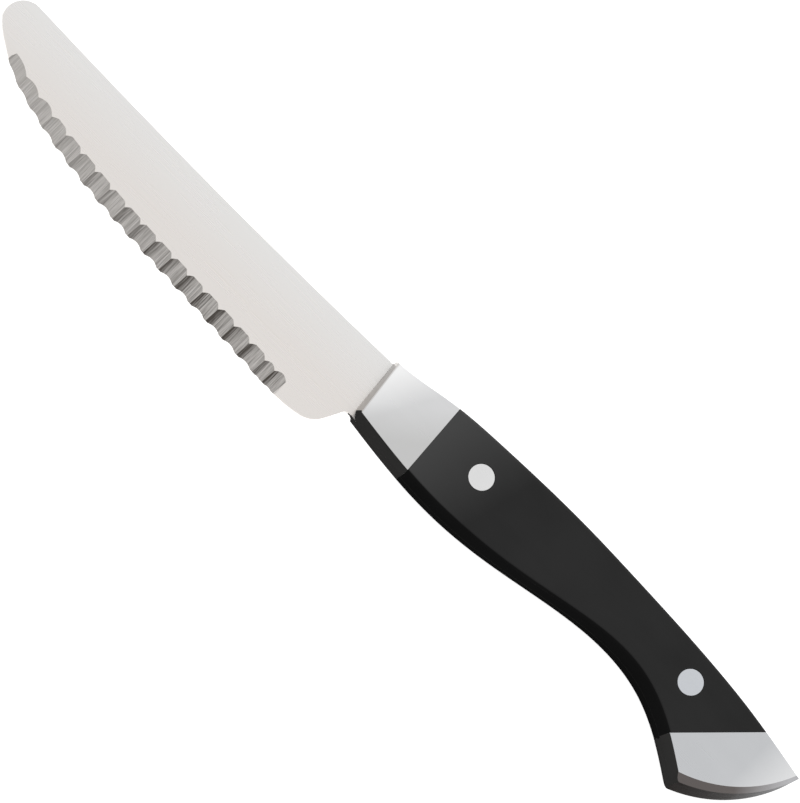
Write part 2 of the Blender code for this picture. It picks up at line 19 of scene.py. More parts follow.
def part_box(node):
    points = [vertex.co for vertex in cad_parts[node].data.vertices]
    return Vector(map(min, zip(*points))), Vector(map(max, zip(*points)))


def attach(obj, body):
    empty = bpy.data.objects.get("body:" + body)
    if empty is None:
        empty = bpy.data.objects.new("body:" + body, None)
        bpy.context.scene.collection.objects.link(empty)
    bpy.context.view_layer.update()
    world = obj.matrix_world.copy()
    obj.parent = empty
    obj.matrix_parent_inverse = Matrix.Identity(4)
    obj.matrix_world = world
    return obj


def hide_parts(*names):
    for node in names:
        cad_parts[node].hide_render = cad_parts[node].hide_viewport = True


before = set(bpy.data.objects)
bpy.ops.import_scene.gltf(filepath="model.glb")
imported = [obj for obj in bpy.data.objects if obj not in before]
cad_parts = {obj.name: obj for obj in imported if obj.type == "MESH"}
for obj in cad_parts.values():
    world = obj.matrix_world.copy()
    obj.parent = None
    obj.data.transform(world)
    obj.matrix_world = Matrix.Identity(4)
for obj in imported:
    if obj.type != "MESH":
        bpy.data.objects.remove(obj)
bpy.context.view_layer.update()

bl_info = {
    "name": "Steak knife",
    "version": (1, 0, 0),
    "blender": (4, 5, 0),
    "location": "3D View > Sidebar > Steak Knife",
    "description": "Models a full-tang steak knife with a scalloped edge and steel bolsters",
    "category": "Add Mesh",
}

MM = 0.001

# In millimetres
OVERHANG = 6.0  # how far blanks and cutters reach past the knife
HOLE_GAP = 0.15  # round the rivets' tubes and posts
RIM_ROUNDING = 0.16  # of a rivet's head
METAL_SEAM_BEVEL = 0.04
SCALE_SEAM_BEVEL = 0.05
TOUCHING = 0.01  # two places this close count as one
TANG_BELLY_FROM = 0.3  # behind the bolster's front, where the painted shade on the tang's belly side starts
TANG_SIDE_FROM = 1.5  # behind the bolster's front, where the tang's flat sides are hidden and get painted shade
HIDDEN_BELOW = 1.5  # sides that lie nearer than this to the steel's middle are hidden, and get painted shade

# How finely the curves are cut
TIP_STEPS = 30
EDGE_STEPS = 72
TANG_STEPS = 64
HANDLE_SLICES = 100
SIDE_SLICES = 8
BUTT_CUTS = 23
BOLSTER_FRONT_STEPS = 37
SCALLOP_STEPS = 22
ROUND_SIDES = 96
BUTT_SIDES = 720

# The camera: where it aims, from the layout's zero in metres, and the ways to its right and back
CAMERA_AIM = (0.0063, 0.0006, 0)
CAMERA_RIGHT = (0.7015, 0.6759, 0.2260)
CAMERA_BACK = (-0.0487, -0.2709, 0.9614)

# Each lamp's name, centre and size, in metres
SOFTBOXES = (
    ("overhead_softbox", (0, 0.225, 0.66), (0.62, 0.40)),
    ("edge_softbox", (-0.14, -0.10, 0.45), (0.32, 0.12)),
    ("back_softbox", (0, 0.80, 0.35), (1.2, 0.5)),
)

# The cutting edge before its scallops: share of the way from the tip to the heel's corner, and
# share of the edge's depth
EDGE_OUTLINE = (
    (0.004, 0.108),
    (0.022, 0.219),
    (0.042, 0.306),
    (0.081, 0.454),
    (0.171, 0.660),
    (0.305, 0.820),
    (0.533, 0.924),
    (0.762, 0.974),
    (0.902, 1.000),
    (0.945, 0.986),
)

# The handle's outline: share of its length from the front, and height as a share of its depth
HANDLE_SPINE_OUTLINE = (
    (0.000, 0.250),
    (0.036, 0.276),
    (0.112, 0.363),
    (0.246, 0.438),
    (0.438, 0.485),
    (0.640, 0.423),
    (0.841, 0.322),
    (1.000, 0.155),
)
HANDLE_BELLY_OUTLINE = (
    (0.000, -0.446),
    (0.095, -0.523),
    (0.201, -0.567),
    (0.367, -0.477),
    (0.508, -0.302),
    (0.617, -0.227),
    (0.700, -0.299),
    (0.773, -0.503),
    (0.854, -0.845),
)


def length(name, description, millimetres):
    """A size in metres, with its default given in millimetres."""
    return bpy.props.FloatProperty(
        name=name,
        description=description,
        default=millimetres * MM,
        min=0.0,
        precision=5,
        subtype="DISTANCE",
        unit="LENGTH",
    )


def angle(name, description, degrees):
    return bpy.props.FloatProperty(
        name=name,
        description=description,
        default=math.radians(degrees),
        subtype="ANGLE",
        unit="ROTATION",
    )


def share(name, description, default):
    return bpy.props.FloatProperty(
        name=name, description=description, default=default, min=0.0, max=1.0, subtype="FACTOR"
    )


def colour(name, description, default):
    return bpy.props.FloatVectorProperty(
        name=name, description=description, default=default, size=3, min=0, max=1, subtype="COLOR"
    )


class KnifeSizes(bpy.types.PropertyGroup):
    """Sizes of the knife."""

    blade_length: length("Blade length", "Tip to bolster, along the rivet line", 114.2)
    steel_thickness: length("Steel thickness", "Thickness of the tang", 2.0)
    tip_radius: length("Tip radius", "Radius of the round tip", 5.0)
    tip_spine: length("Tip height", "Spine above the rivet line where the tip starts", 5.1)
    bolster_spine: length("Blade height", "Spine above the rivet line at the bolster", 5.3)
    spine_hollow: length("Spine hollow", "Dip of the spine half way along", 0.85)
    spine_round: length("Spine rounding", "Rounding of the spine's two edges", 0.34)
    edge_depth: length("Edge depth", "The edge's lowest place, below the rivet line", 18.4)
    heel_setback: length("Heel setback", "Heel's corner ahead of the bolster", 4.25)
    heel_depth: length("Heel depth", "Heel's corner below the rivet line", 16.8)
    heel_rise: angle("Heel rise", "The edge where it runs into the heel", 15)
    heel_slant: angle("Heel slant", "Lean of the heel's back edge", 26.5)
    heel_radius: length("Heel radius", "Rounding of the heel", 6.4)
    notch_radius: length("Notch radius", "Hollow corner between heel and bolster", 1.2)
    spine_thickness: length("Spine thickness", "Ground blade at the bolster's spine end", 1.9)
    heel_thickness: length("Heel thickness", "Ground blade at the heel's edge", 0.7)
    tip_thickness: length("Tip thickness", "Ground blade at the tip", 0.9)

    scallop_pitch: length("Scallop pitch", "Tooth to tooth", 4.98)
    scallop_start: length("Scallop start", "First tooth behind the tip", 8.5)
    scallop_end: length("Scallop end", "Last tooth ahead of the bolster", 14.5)
    scallop_depth: length("Scallop depth", "Hollow of one scallop", 0.17)
    scallop_height_tip: length("Scallop height, tip", "Band height near the tip", 2.1)
    scallop_height_heel: length("Scallop height, heel", "Band height near the heel", 3.65)
    scallop_full_at: length("Full height at", "Behind the tip", 40)
    scallop_soften: length("Scallop run-out", "Where the first and last scallop fade", 0.4)
    scallop_lean: angle("Scallop lean", "Lean of the grinding from square", 4)
    tooth_thickness: length("Tooth thickness", "Thickness left at the edge", 0.08)
    narrow_scallop: share("Narrow scallop", "Share of the last two scallops' run", 0.465)

    handle_length: length("Handle length", "Bolster's front to the butt's point", 125)
    handle_depth: length("Handle depth", "Spine to belly at the grip", 19.4)
    side_bulge: length("Side bulge", "How far the narrow sides stand out at the tang", 0.95)
    front_thickness: length("Thickness, front", "Handle's thickness at its front", 11.7)
    waist_thickness: length("Thickness, waist", "Handle's thickness at its waist", 9.4)
    butt_thickness: length("Thickness, butt", "Handle's thickness at its butt", 13.6)
    thinning: share("Thinning starts", "Share of the handle's length", 0.24)
    waist: share("Waist", "Share of the handle's length", 0.45)
    level: share("Butt level", "Where the sides are level again", 0.70)
    scale_rounding: length("Scale edge", "Rounding of the scales' long edges", 0.9)
    metal_rounding: length("Bolster edge", "Rounding of the bolsters' long edges", 0.3)
    seam: length("Seam", "Gap between two pieces that meet", 0.04)

    bolster_length: length("Front bolster", "Its length along the rivet line", 16.9)
    bolster_tilt: angle("Bolster tilt", "Its front at the steel, from square", 4.8)
    bolster_face_tilt: angle("Bolster face tilt", "Its front at the side face", 6.6)
    seam_tilt: angle("Seam tilt", "Front seam, from square", 3.7)
    bolster_draft: length("Bolster draft", "How far its front leans back", 0.55)
    front_rounding: length("Front edge", "Rounding between the bolster's front and its face", 0.5)
    bolster_corner: length("Bolster corner", "Cut off its front belly corner", 0.65)
    bolster_corner_angle: angle("Corner angle", "That cut, from the knife's length", 55)
    rear_setback: length("Rear seam", "Rear seam ahead of the butt's point", 17.1)
    rear_angle: angle("Rear seam angle", "From the knife's length", 46)
    butt_radius: length("Butt radius", "Radius of the butt's arc", 33)
    chamfer_beak: length("Chamfer at the beak", "Width of the butt's chamfer", 1.7)
    chamfer_point: length("Chamfer at the point", "Width of the butt's chamfer", 0.85)
    chamfer_depth: length("Chamfer depth", "Down the butt's wall", 1.4)
    beak_radius: length("Beak rounding", "Rounding of the butt's belly corner", 0.8)

    rivet_radius: length("Rivet radius", "Radius of a rivet's head", 3.0)
    rivet_head_depth: length("Rivet head depth", "Thickness of a head", 1.6)
    rivet_dome: length("Rivet dome", "Height of a head's middle over its rim", 0.05)
    tube_radius: length("Tube radius", "Outer radius of the socket's tube", 1.7)
    post_radius: length("Post radius", "Radius of the post", 1.05)
    rivet_roof: length("Socket roof", "Metal over the blind end of the bore", 0.9)
    rivet_end_gap: length("Rivet end gap", "Between a half's end and the other head", 0.5)
    front_rivet_inset: length("Front rivet", "Behind the scales' front seam", 13.2)
    rear_rivet_inset: length("Rear rivet", "Ahead of the scales' rear seam", 14.4)
    rivet_rise: length("Rivet rise", "Above the middle of the handle's height", 1.3)


class KnifeColours(bpy.types.PropertyGroup):
    """Colours of the finishes, several of them painted highlight and shade."""

    blade: colour("Blade", "Satin steel of the blade", (0.765, 0.76, 0.75))
    blade_belly: colour("Blade, lower half", "Warmer satin steel", (0.745, 0.712, 0.685))
    scallop: colour("Scallops", "Freshly ground steel", (0.50, 0.48, 0.46))
    # The deepest grinding lines, and the painted shade on each scallop's tip side
    scallop_lines_and_painted_shade: colour("Scallop shade", "Deepest of the grinding lines", (0.07, 0.062, 0.055))
    bolster: colour("Bolster", "Satin steel of its sides, and the pins", (0.655, 0.657, 0.662))
    # A painted highlight on the front bolster's spine side and towards the rear bolster's point
    bolster_painted_highlight: colour("Bright bolster", "Where the polish is brightest", (0.90, 0.90, 0.90))
    # Painted shade towards the front bolster's belly and rear
    bolster_painted_shade: colour("Dull bolster", "Where the polish is dullest", (0.555, 0.555, 0.552))
    bolster_rear: colour("Rear bolster", "Satin steel at the butt", (0.55, 0.56, 0.575))
    # Painted shade on the front bolster's front wall
    bolster_front: colour("Bolster front", "Its front wall", (0.46, 0.44, 0.42))
    # Painted shade on the steel's belly side and hidden sides, drawn as a dark matt non-metal
    metal_belly: colour("Metal belly", "Dark belly side of the steel", (0.042, 0.041, 0.040))
    # Painted shade on the butt's chamfer and end wall near the beak
    butt_chamfer: colour("Butt chamfer", "Chamfer near the beak", (0.125, 0.112, 0.108))
    butt_wall: colour("Butt wall", "End wall near the beak", (0.125, 0.118, 0.115))
    # A painted highlight on the butt's chamfer and end wall towards the point
    butt_painted_highlight: colour("Bright butt", "Chamfer and wall near the point", (0.37, 0.37, 0.38))
    front_rivet: colour("Front rivet", "Satin metal", (0.73, 0.73, 0.73))
    rear_rivet: colour("Rear rivet", "Satin metal", (0.57, 0.59, 0.62))
    plastic: colour("Scales", "Black moulded plastic", (0.022, 0.022, 0.022))
    # A painted sheen on the scales near the front bolster
    plastic_front_painted_sheen: colour("Scale fronts", "Black plastic, paler", (0.070, 0.070, 0.070))
    # Painted shade on the scales' belly side and hidden sides, and on the tang's belly between the
    # bolsters
    plastic_belly: colour("Scale bellies", "Black plastic, deeper", (0.010, 0.010, 0.010))
    floor: colour("Floor", "Pale studio floor", (0.85, 0.85, 0.85))


class KnifeStudio(bpy.types.PropertyGroup):
    """The light, the floor and the camera."""

    lamp_level: bpy.props.FloatProperty(
        name="Lamp level", description="Brightness of the softboxes", default=1.0, min=0
    )
    ambient: share("Ambient", "Brightness of the room round the knife", 0.5)
    floor_lift: share("Floor lift", "Brightness added to the floor that shows", 0.8)
    camera_distance: length("Camera distance", "From the knife to the camera", 3000)
    camera_width: length("Framed width", "Width of the picture at the knife", 173.2)


def in_millimetres(group):
    """A group's values by name, with its lengths in millimetres."""
    values = {name: getattr(group, name) for name in type(group).__annotations__}
    for name in values:
        if group.bl_rna.properties[name].unit == "LENGTH":
            values[name] /= MM
    return SimpleNamespace(**values)


# Curves and outlines


def smooth_curve(points):
    """A function of x: the natural cubic through the points, running straight past its ends."""
    x, y = (np.array(side, float) for side in zip(*points))
    step = np.diff(x)
    slope = np.diff(y) / step
    rows = np.eye(len(x))
    bend = np.zeros(len(x))
    for i in range(1, len(x) - 1):
        rows[i, i - 1 : i + 2] = step[i - 1], 2 * (step[i - 1] + step[i]), step[i]
        bend[i] = 6 * (slope[i] - slope[i - 1])
    bend = np.linalg.solve(rows, bend)

    def height(where):
        inside = min(max(where, x[0]), x[-1])
        i = min(max(int(np.searchsorted(x, inside)) - 1, 0), len(step) - 1)
        width = step[i]
        left = (x[i + 1] - inside) / width
        right = (inside - x[i]) / width
        value = left * y[i] + right * y[i + 1]
        value += ((left**3 - left) * bend[i] + (right**3 - right) * bend[i + 1]) * width**2 / 6
        rise = slope[i] + (
            (1 - 3 * left**2) * bend[i] + (3 * right**2 - 1) * bend[i + 1]
        ) * width / 6
        return float(value + rise * (where - inside))

    return height


def ease(where, start, end):
    """0 before start, 1 after end, and a level-ended S between."""
    done = min(max((where - start) / (end - start), 0), 1)
    return 0.5 - 0.5 * math.cos(math.pi * done)


def arc(centre, radius, start, end, steps):
    """Points on a circle from the angle start to the angle end."""
    return [
        centre + radius * Vector((math.cos(turn), math.sin(turn)))
        for turn in np.linspace(start, end, steps + 1)
    ]


def fillet(before, corner, after, radius, steps):
    """Points that round the corner between two straight runs."""
    back = (before - corner).normalized()
    ahead = (after - corner).normalized()
    half = back.angle(ahead) / 2
    middle = corner + (back + ahead).normalized() * radius / math.sin(half)
    first = corner + back * radius / math.tan(half) - middle
    last = corner + ahead * radius / math.tan(half) - middle
    turn = first.angle_signed(last)
    start = math.atan2(first.y, first.x)
    return arc(middle, radius, start, start - turn, steps)


def slanted(x, y, lean):
    """The point at height y on a line through (x, 0) that leans by an angle from square."""
    return Vector((x - y * math.tan(lean), y))


class Layout:
    """The knife's curves, worked out from its sizes."""

    def __init__(self, sizes):
        s = self.sizes = in_millimetres(sizes)
        self.spine_points = self.handle_points(HANDLE_SPINE_OUTLINE)
        self.belly_points = self.handle_points(HANDLE_BELLY_OUTLINE)
        self.spine_edge = smooth_curve(self.spine_points)
        self.belly_edge = smooth_curve(self.belly_points)
        self.tip = -s.blade_length
        self.heel_corner = Vector((-s.heel_setback, -s.heel_depth))
        tang_belly = self.belly_points[0].y - s.side_bulge
        run = (s.heel_depth + tang_belly) * math.tan(s.heel_slant)
        self.notch = Vector((self.heel_corner.x + run, tang_belly))
        before = self.heel_corner - Vector((math.cos(s.heel_rise), math.sin(s.heel_rise)))
        self.heel_arc = fillet(before, self.heel_corner, self.notch, s.heel_radius, 20)
        points = [
            Vector((self.tip + along * (self.heel_corner.x - self.tip), -down * s.edge_depth))
            for along, down in EDGE_OUTLINE
        ]
        self.edge_foot = points[0]
        self.blade_edge = smooth_curve([*points, self.heel_arc[0]])
        self.grind = self.grind_plane()
        self.butt_centre = self.find_butt_centre()
        self.rear_seam_at = s.handle_length - s.rear_setback
        self.rear_lean = s.rear_angle - math.pi / 2
        self.belly_seam = self.seam_at_belly()
        self.rivets = {
            "front": self.rivet_place(s.bolster_length + s.front_rivet_inset),
            "rear": self.rivet_place(self.rear_seam_at - s.rear_rivet_inset),
        }

    def handle_points(self, outline):
        s = self.sizes
        return [Vector((along * s.handle_length, up * s.handle_depth)) for along, up in outline]

    def half_thickness(self, x):
        s = self.sizes
        thinning = ease(x, s.thinning * s.handle_length, s.waist * s.handle_length)
        filling = ease(x, s.waist * s.handle_length, s.level * s.handle_length)
        waist = s.front_thickness + (s.waist_thickness - s.front_thickness) * thinning
        return (waist + (s.butt_thickness - s.waist_thickness) * filling) / 2

    def rivet_place(self, x):
        middle = (self.spine_edge(x) + self.belly_edge(x)) / 2
        return Vector((x, middle + self.sizes.rivet_rise))

    def seam_at_belly(self):
        """Where the rear seam meets the belly."""
        low, high = 0, self.sizes.handle_length
        for _ in range(40):
            x = (low + high) / 2
            seam = slanted(self.rear_seam_at, self.belly_edge(x), self.rear_lean).x
            low, high = (x, high) if x < seam else (low, x)
        return low

    def find_butt_centre(self):
        """Centre of the butt's arc, which joins the last points of the two outlines."""
        point, beak = self.spine_points[-1], self.belly_points[-1]
        chord = point - beak
        reach = math.sqrt(self.sizes.butt_radius**2 - (chord.length / 2) ** 2)
        inward = Vector((-chord.y, chord.x)).normalized()
        return (point + beak) / 2 + inward * reach

    def butt_angle(self, edge):
        """The angle on the butt's arc where an outline, a function of x, runs into it."""
        radius = self.sizes.butt_radius
        low, high = self.butt_centre.x, self.butt_centre.x + radius
        for _ in range(40):
            x = (low + high) / 2
            inside = (Vector((x, edge(x))) - self.butt_centre).length < radius
            low, high = (x, high) if inside else (low, x)
        place = Vector((low, edge(low))) - self.butt_centre
        return math.atan2(place.y, place.x)

    def blade_spine(self, x):
        s = self.sizes
        along = x / (self.tip + s.tip_radius)
        line = s.bolster_spine + (s.tip_spine - s.bolster_spine) * along
        return line - 4 * s.spine_hollow * along * (1 - along)

    def grind_plane(self):
        """a, b and c of z = a + b x + c y, the blade's left face. The right face mirrors it."""
        s = self.sizes
        places = (
            (0, s.bolster_spine, s.spine_thickness / 2),
            (self.heel_corner.x, self.heel_corner.y, s.heel_thickness / 2),
            (self.tip, s.tip_spine - 2 * s.tip_radius, s.tip_thickness / 2),
        )
        rows = [(1, x, y) for x, y, _ in places]
        return [float(value) for value in np.linalg.solve(rows, [z for _, _, z in places])]

    def face_height(self, point):
        return self.grind[0] + self.grind[1] * point[0] + self.grind[2] * point[1]

    def scallop_height(self, x):
        s = self.sizes
        grown = ease(x, self.tip, self.tip + s.scallop_full_at)
        return s.scallop_height_tip + (s.scallop_height_heel - s.scallop_height_tip) * grown

    def place(self, x, y):
        """A point of the knife's plan in the frame, in metres."""
        return self.zero() + Vector((x, y, 0)) * MM

    def zero(self):
        """The layout's zero in the frame, in metres."""
        steel_low, steel_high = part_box("blade_and_tang")
        rivet_low, rivet_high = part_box("front_rivet_socket")
        return Vector(
            (
                steel_low[0] - self.tip * MM,
                (rivet_low[1] + rivet_high[1]) / 2 - self.rivets["front"].y * MM,
                (steel_low[2] + steel_high[2]) / 2,
            )
        )


# Modelling


def choose(*objects):
    """Selects these objects alone and makes the first one active."""
    bpy.ops.object.select_all(action="DESELECT")
    for obj in objects:
        obj.select_set(True)
    bpy.context.view_layer.objects.active = objects[0]


@contextmanager
def editing(obj):
    """Edit mode on one object, with nothing in it selected at first."""
    choose(obj)
    bpy.ops.object.mode_set(mode="EDIT")
    bpy.ops.mesh.select_all(action="DESELECT")
    yield
    bpy.ops.object.mode_set(mode="OBJECT")


def edited():
    return bmesh.from_edit_mesh(bpy.context.object.data)


def select(kind, test):
    """Selects those of the edited mesh's verts, edges or faces that pass the test."""
    modes = {"verts": "VERT", "edges": "EDGE", "faces": "FACE"}
    bpy.ops.mesh.select_mode(type=modes[kind])
    bpy.ops.mesh.select_all(action="DESELECT")
    shape = edited()
    for item in getattr(shape, kind):
        if test(item):
            item.select_set(True)
    bmesh.update_edit_mesh(bpy.context.object.data)


def move(numbers, offset):
    """Moves the vertices with these numbers."""
    chosen = set(numbers)
    select("verts", lambda v: v.index in chosen)
    bpy.ops.transform.translate(value=offset)


def runs_along(edge, axis):
    """True for an edge that is parallel to an axis."""
    way = edge.verts[1].co - edge.verts[0].co
    return abs(way[axis]) > 0.99 * way.length


def cut_along(axis, parts):
    """Cuts every edge along an axis into so many parts. One subdivide makes up to 100, so the
    number has to be a product of smaller ones."""
    while parts > 1:
        step = next(n for n in range(min(parts, 100), 0, -1) if parts % n == 0)
        if step == 1:
            raise ValueError(f"{parts} parts can't be cut in steps of up to 100")
        select("edges", lambda e: runs_along(e, axis))
        bpy.ops.mesh.subdivide(number_cuts=step - 1)
        parts //= step


def places_along(axis):
    """The vertex numbers at each place along an axis, in order."""
    shape = edited()
    shape.verts.index_update()
    places = {}
    for vert in shape.verts:
        places.setdefault(round(vert.co[axis], 3), []).append(vert.index)
    return sorted(places.items())


def add_block(name, low, high):
    """A block between two corners."""
    low, high = Vector(low), Vector(high)
    bpy.ops.object.select_all(action="DESELECT")
    bpy.ops.mesh.primitive_cube_add(size=1, location=(low + high) / 2, scale=high - low)
    made = bpy.context.object
    made.name = name
    bpy.ops.object.transform_apply(location=True, rotation=True, scale=True)
    return made


def add_sliced_block(name, sections):
    """A block cut into slices, whose corners are moved to each section's places. A section gives
    them from its low near corner: (near low, near high, far low, far high)."""
    made = add_block(name, (0, -1, -1), (len(sections) - 1, 1, 1))
    with editing(made):
        cut_along(0, len(sections) - 1)
        shape = edited()
        shape.verts.index_update()
        corners = sorted(
            ([round(value, 3) for value in vert.co], vert.index, vert.co.copy())
            for vert in shape.verts
        )
        targets = [Vector(place) for section in sections for place in section]
        for (_, number, start), target in zip(corners, targets):
            move([number], target - start)
        bpy.ops.mesh.select_all(action="SELECT")
        bpy.ops.mesh.normals_make_consistent(inside=False)
    return made


def cut_away(point, normal):
    """Cuts the edited mesh with a plane, and closes it where the side along the normal goes."""
    bpy.ops.mesh.select_all(action="SELECT")
    bpy.ops.mesh.bisect(
        plane_co=point, plane_no=normal, use_fill=True, clear_outer=True, threshold=1e-5
    )


def round_off(point, first, second, radius, steps):
    """Rounds the edited piece's straight outer edge through a point, between two flat sides."""
    point, first, second = Vector(point), Vector(first), Vector(second)
    middle = point - (first + second) * radius / (1 + first.dot(second))
    for along in np.linspace(0, 1, steps + 2)[1:-1]:
        normal = first.slerp(second, along)
        cut_away(middle + normal * radius, normal)


def bevel(test, width, segments, profile=0.5):
    """Rounds the edges that pass the test."""
    select("edges", test)
    bpy.ops.mesh.bevel(
        offset=width, offset_type="OFFSET", segments=segments, profile=profile, affect="EDGES"
    )


def copy_of(obj, name):
    choose(obj)
    bpy.ops.object.duplicate()
    made = bpy.context.object
    made.name = name
    return made


def boolean(target, cutter, operation="DIFFERENCE"):
    """Cuts the target with the cutter, which is used up."""
    choose(target)
    change = target.modifiers.new(operation.title(), "BOOLEAN")
    change.operation = operation
    change.solver = "EXACT"
    change.object = cutter
    bpy.ops.object.modifier_apply(modifier=change.name)
    bpy.data.objects.remove(cutter)


def mirrored(obj, name):
    """A copy on the knife's other side."""
    made = copy_of(obj, name)
    with editing(made):
        bpy.ops.mesh.select_all(action="SELECT")
        bpy.ops.transform.resize(value=(1, 1, -1), center_override=(0, 0, 0))
        bpy.ops.mesh.normals_make_consistent(inside=False)
    return made


def shade(obj, sharp_from):
    """Smooth shading that keeps flat faces flat."""
    choose(obj)
    bpy.ops.object.shade_smooth_by_angle(angle=math.radians(sharp_from))
    weigh = obj.modifiers.new("Weighted normals", "WEIGHTED_NORMAL")
    weigh.keep_sharp = True
    weigh.weight = 100
    bpy.ops.object.modifier_apply(modifier=weigh.name)


def give_finish(obj, finish, test=None):
    """Puts a finish on the whole object, or on the faces that pass the test."""
    obj.data.materials.append(finish)
    if test is None:
        return
    obj.active_material_index = len(obj.data.materials) - 1
    with editing(obj):
        select("faces", test)
        bpy.ops.object.material_slot_assign()


def settle(obj, layout, node):
    """Brings a piece from the layout to its true size and place, where its CAD node is."""
    with editing(obj):
        bpy.ops.mesh.select_all(action="SELECT")
        bpy.ops.mesh.remove_doubles(threshold=1e-4)
        bpy.ops.transform.resize(value=(MM, MM, MM), center_override=(0, 0, 0))
        bpy.ops.mesh.select_all(action="SELECT")
        bpy.ops.transform.translate(value=layout.zero())
    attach(obj, "root")
    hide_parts(node)


# The blade


def blade_sections(layout):
    """The steel's sections from the tip to the butt, each with its four corners."""
    s = layout.sizes
    half = s.steel_thickness / 2
    tip_centre = Vector((layout.tip + s.tip_radius, s.tip_spine - s.tip_radius))

    def lower_edge(x):
        if x < layout.edge_foot.x:
            reach = tip_centre.x - x
            return tip_centre.y - math.sqrt(s.tip_radius**2 - reach**2)
        return layout.blade_edge(x)

    spine, belly = [], []
    almost_level = math.radians(178.5)
    for turn in np.linspace(almost_level, math.pi / 2, TIP_STEPS):
        point = arc(tip_centre, s.tip_radius, turn, turn, 0)[0]
        spine.append(point)
        belly.append(Vector((point.x, lower_edge(point.x))))
    beyond = Vector((s.handle_length, layout.notch.y))
    hollow = fillet(layout.heel_corner, layout.notch, beyond, s.notch_radius, 6)
    front_spine = slanted(0, s.bolster_spine, s.bolster_tilt)
    front_belly = slanted(0, layout.notch.y, s.bolster_tilt)
    run = [
        Vector((x, layout.blade_edge(x)))
        for x in np.linspace(tip_centre.x, layout.heel_arc[0].x, EDGE_STEPS)[1:-1]
    ]
    run += [*layout.heel_arc, *hollow, front_belly]
    for point in run:
        back = ease(point.x, front_belly.x - s.butt_radius, front_belly.x)
        x = point.x + (front_spine.x - front_belly.x) * back
        spine.append(Vector((x, layout.blade_spine(x))))
        belly.append(point)
    sections = []
    for low, high in zip(belly, spine):
        a, b = layout.face_height(low), layout.face_height(high)
        sections.append([(*low, -a), (*low, a), (*high, -b), (*high, b)])

    step = s.bolster_draft * (s.steel_thickness / s.front_thickness)
    tang_spine = layout.spine_points[0].y + s.side_bulge
    spine = [Vector((front_spine.x + step, tang_spine))]
    belly = [front_belly + Vector((step, 0))]
    beak = layout.butt_angle(lambda x: layout.belly_edge(x) - s.side_bulge)
    point = layout.butt_angle(lambda x: layout.spine_edge(x) + s.side_bulge)
    ends = [
        arc(layout.butt_centre, s.butt_radius, turn, turn, 0)[0].x for turn in (beak, point)
    ]
    for along in np.linspace(0, 1, TANG_STEPS)[1:]:
        x = belly[0].x + (ends[0] - belly[0].x) * along
        belly.append(Vector((x, layout.belly_edge(x) - s.side_bulge)))
        x = spine[0].x + (ends[1] - spine[0].x) * along
        spine.append(Vector((x, layout.spine_edge(x) + s.side_bulge)))
    for low, high in zip(belly, spine):
        sections.append([(*low, -half), (*low, half), (*high, -half), (*high, half)])
    return sections


def round_butt(layout):
    """Cuts the edited steel's straight end into short runs and moves them out to the arc."""
    s = layout.sizes
    beak = layout.butt_angle(lambda x: layout.belly_edge(x) - s.side_bulge)
    point = layout.butt_angle(lambda x: layout.spine_edge(x) + s.side_bulge)
    ends = [arc(layout.butt_centre, s.butt_radius, turn, turn, 0)[0] for turn in (beak, point)]

    def on_end(vert):
        return min((vert.co.to_2d() - end).length for end in ends) < TOUCHING

    def is_end(edge):
        a, b = edge.verts
        return on_end(a) and on_end(b) and (a.co - b.co).length > s.steel_thickness * 2

    select("edges", is_end)
    bpy.ops.mesh.subdivide(number_cuts=BUTT_CUTS)
    shape = edited()
    shape.verts.index_update()
    chord = ends[1] - ends[0]
    moves = []
    for vert in shape.verts:
        place = vert.co.to_2d() - ends[0]
        along = place.dot(chord) / chord.length_squared
        off = abs(place.cross(chord)) / chord.length
        if off < TOUCHING and 0.001 < along < 0.999:
            turn = beak + (point - beak) * along
            target = arc(layout.butt_centre, s.butt_radius, turn, turn, 0)[0]
            moves.append((vert.index, (*(target - vert.co.to_2d()), 0)))
    for number, offset in moves:
        move([number], offset)


def round_tang_beak(layout):
    """Rounds the edited steel's belly corner at the butt, as the bolsters' is."""
    s = layout.sizes
    beak = layout.butt_angle(lambda x: layout.belly_edge(x) - s.side_bulge)
    corner = arc(layout.butt_centre, s.butt_radius, beak, beak, 0)[0]
    bevel(
        lambda e: runs_along(e, 2) and (e.verts[0].co.to_2d() - corner).length < TOUCHING,
        s.beak_radius,
        6,
    )


def scallop_spans(layout):
    """Start and end of each scallop: equal ones, then a narrow and a wider one."""
    s = layout.sizes
    start = layout.tip + s.scallop_start
    run = s.blade_length - s.scallop_start - s.scallop_end
    count = max(int(run / s.scallop_pitch) - 1, 1)
    teeth = [start + i * s.scallop_pitch for i in range(count + 1)]
    rest = start + run - teeth[-1]
    teeth += [teeth[-1] + rest * s.narrow_scallop, start + run]
    return list(zip(teeth, teeth[1:]))


def scallop_cutter(layout):
    """What the scallops' grinding takes away. Each section runs across the edge, on a line that
    rises from the right face at the edge to the left face at the top of the band."""
    s = layout.sizes
    lean = Vector((math.sin(s.scallop_lean), math.cos(s.scallop_lean)))
    spans = scallop_spans(layout)
    soft = s.scallop_soften
    stations = [(spans[0][0] - soft, -soft)]
    for start, end in spans:
        depth = s.scallop_depth * min((end - start) / s.scallop_pitch, 1)
        for along in np.linspace(0, 1, SCALLOP_STEPS + 1)[:-1]:
            stations.append((start + (end - start) * along, depth * 4 * along * (1 - along)))
    stations += [(spans[-1][1], 0), (spans[-1][1] + soft, -soft)]
    sections = []
    for x, hollow in stations:
        foot = Vector((x, layout.blade_edge(x)))
        height = layout.scallop_height(x)
        top = foot + lean * height
        low = s.tooth_thickness - layout.face_height(foot)
        rise = (layout.face_height(top) - low) / height
        reach = 1.0  # past the band, above and below
        near, far = foot - lean * reach, foot + lean * (height + reach)
        sections.append(
            [
                (*near, low - rise * reach - hollow),
                (*near, OVERHANG),
                (*far, low + rise * (height + reach) - hollow),
                (*far, OVERHANG),
            ]
        )
    return add_sliced_block("scallop_cutter", sections)


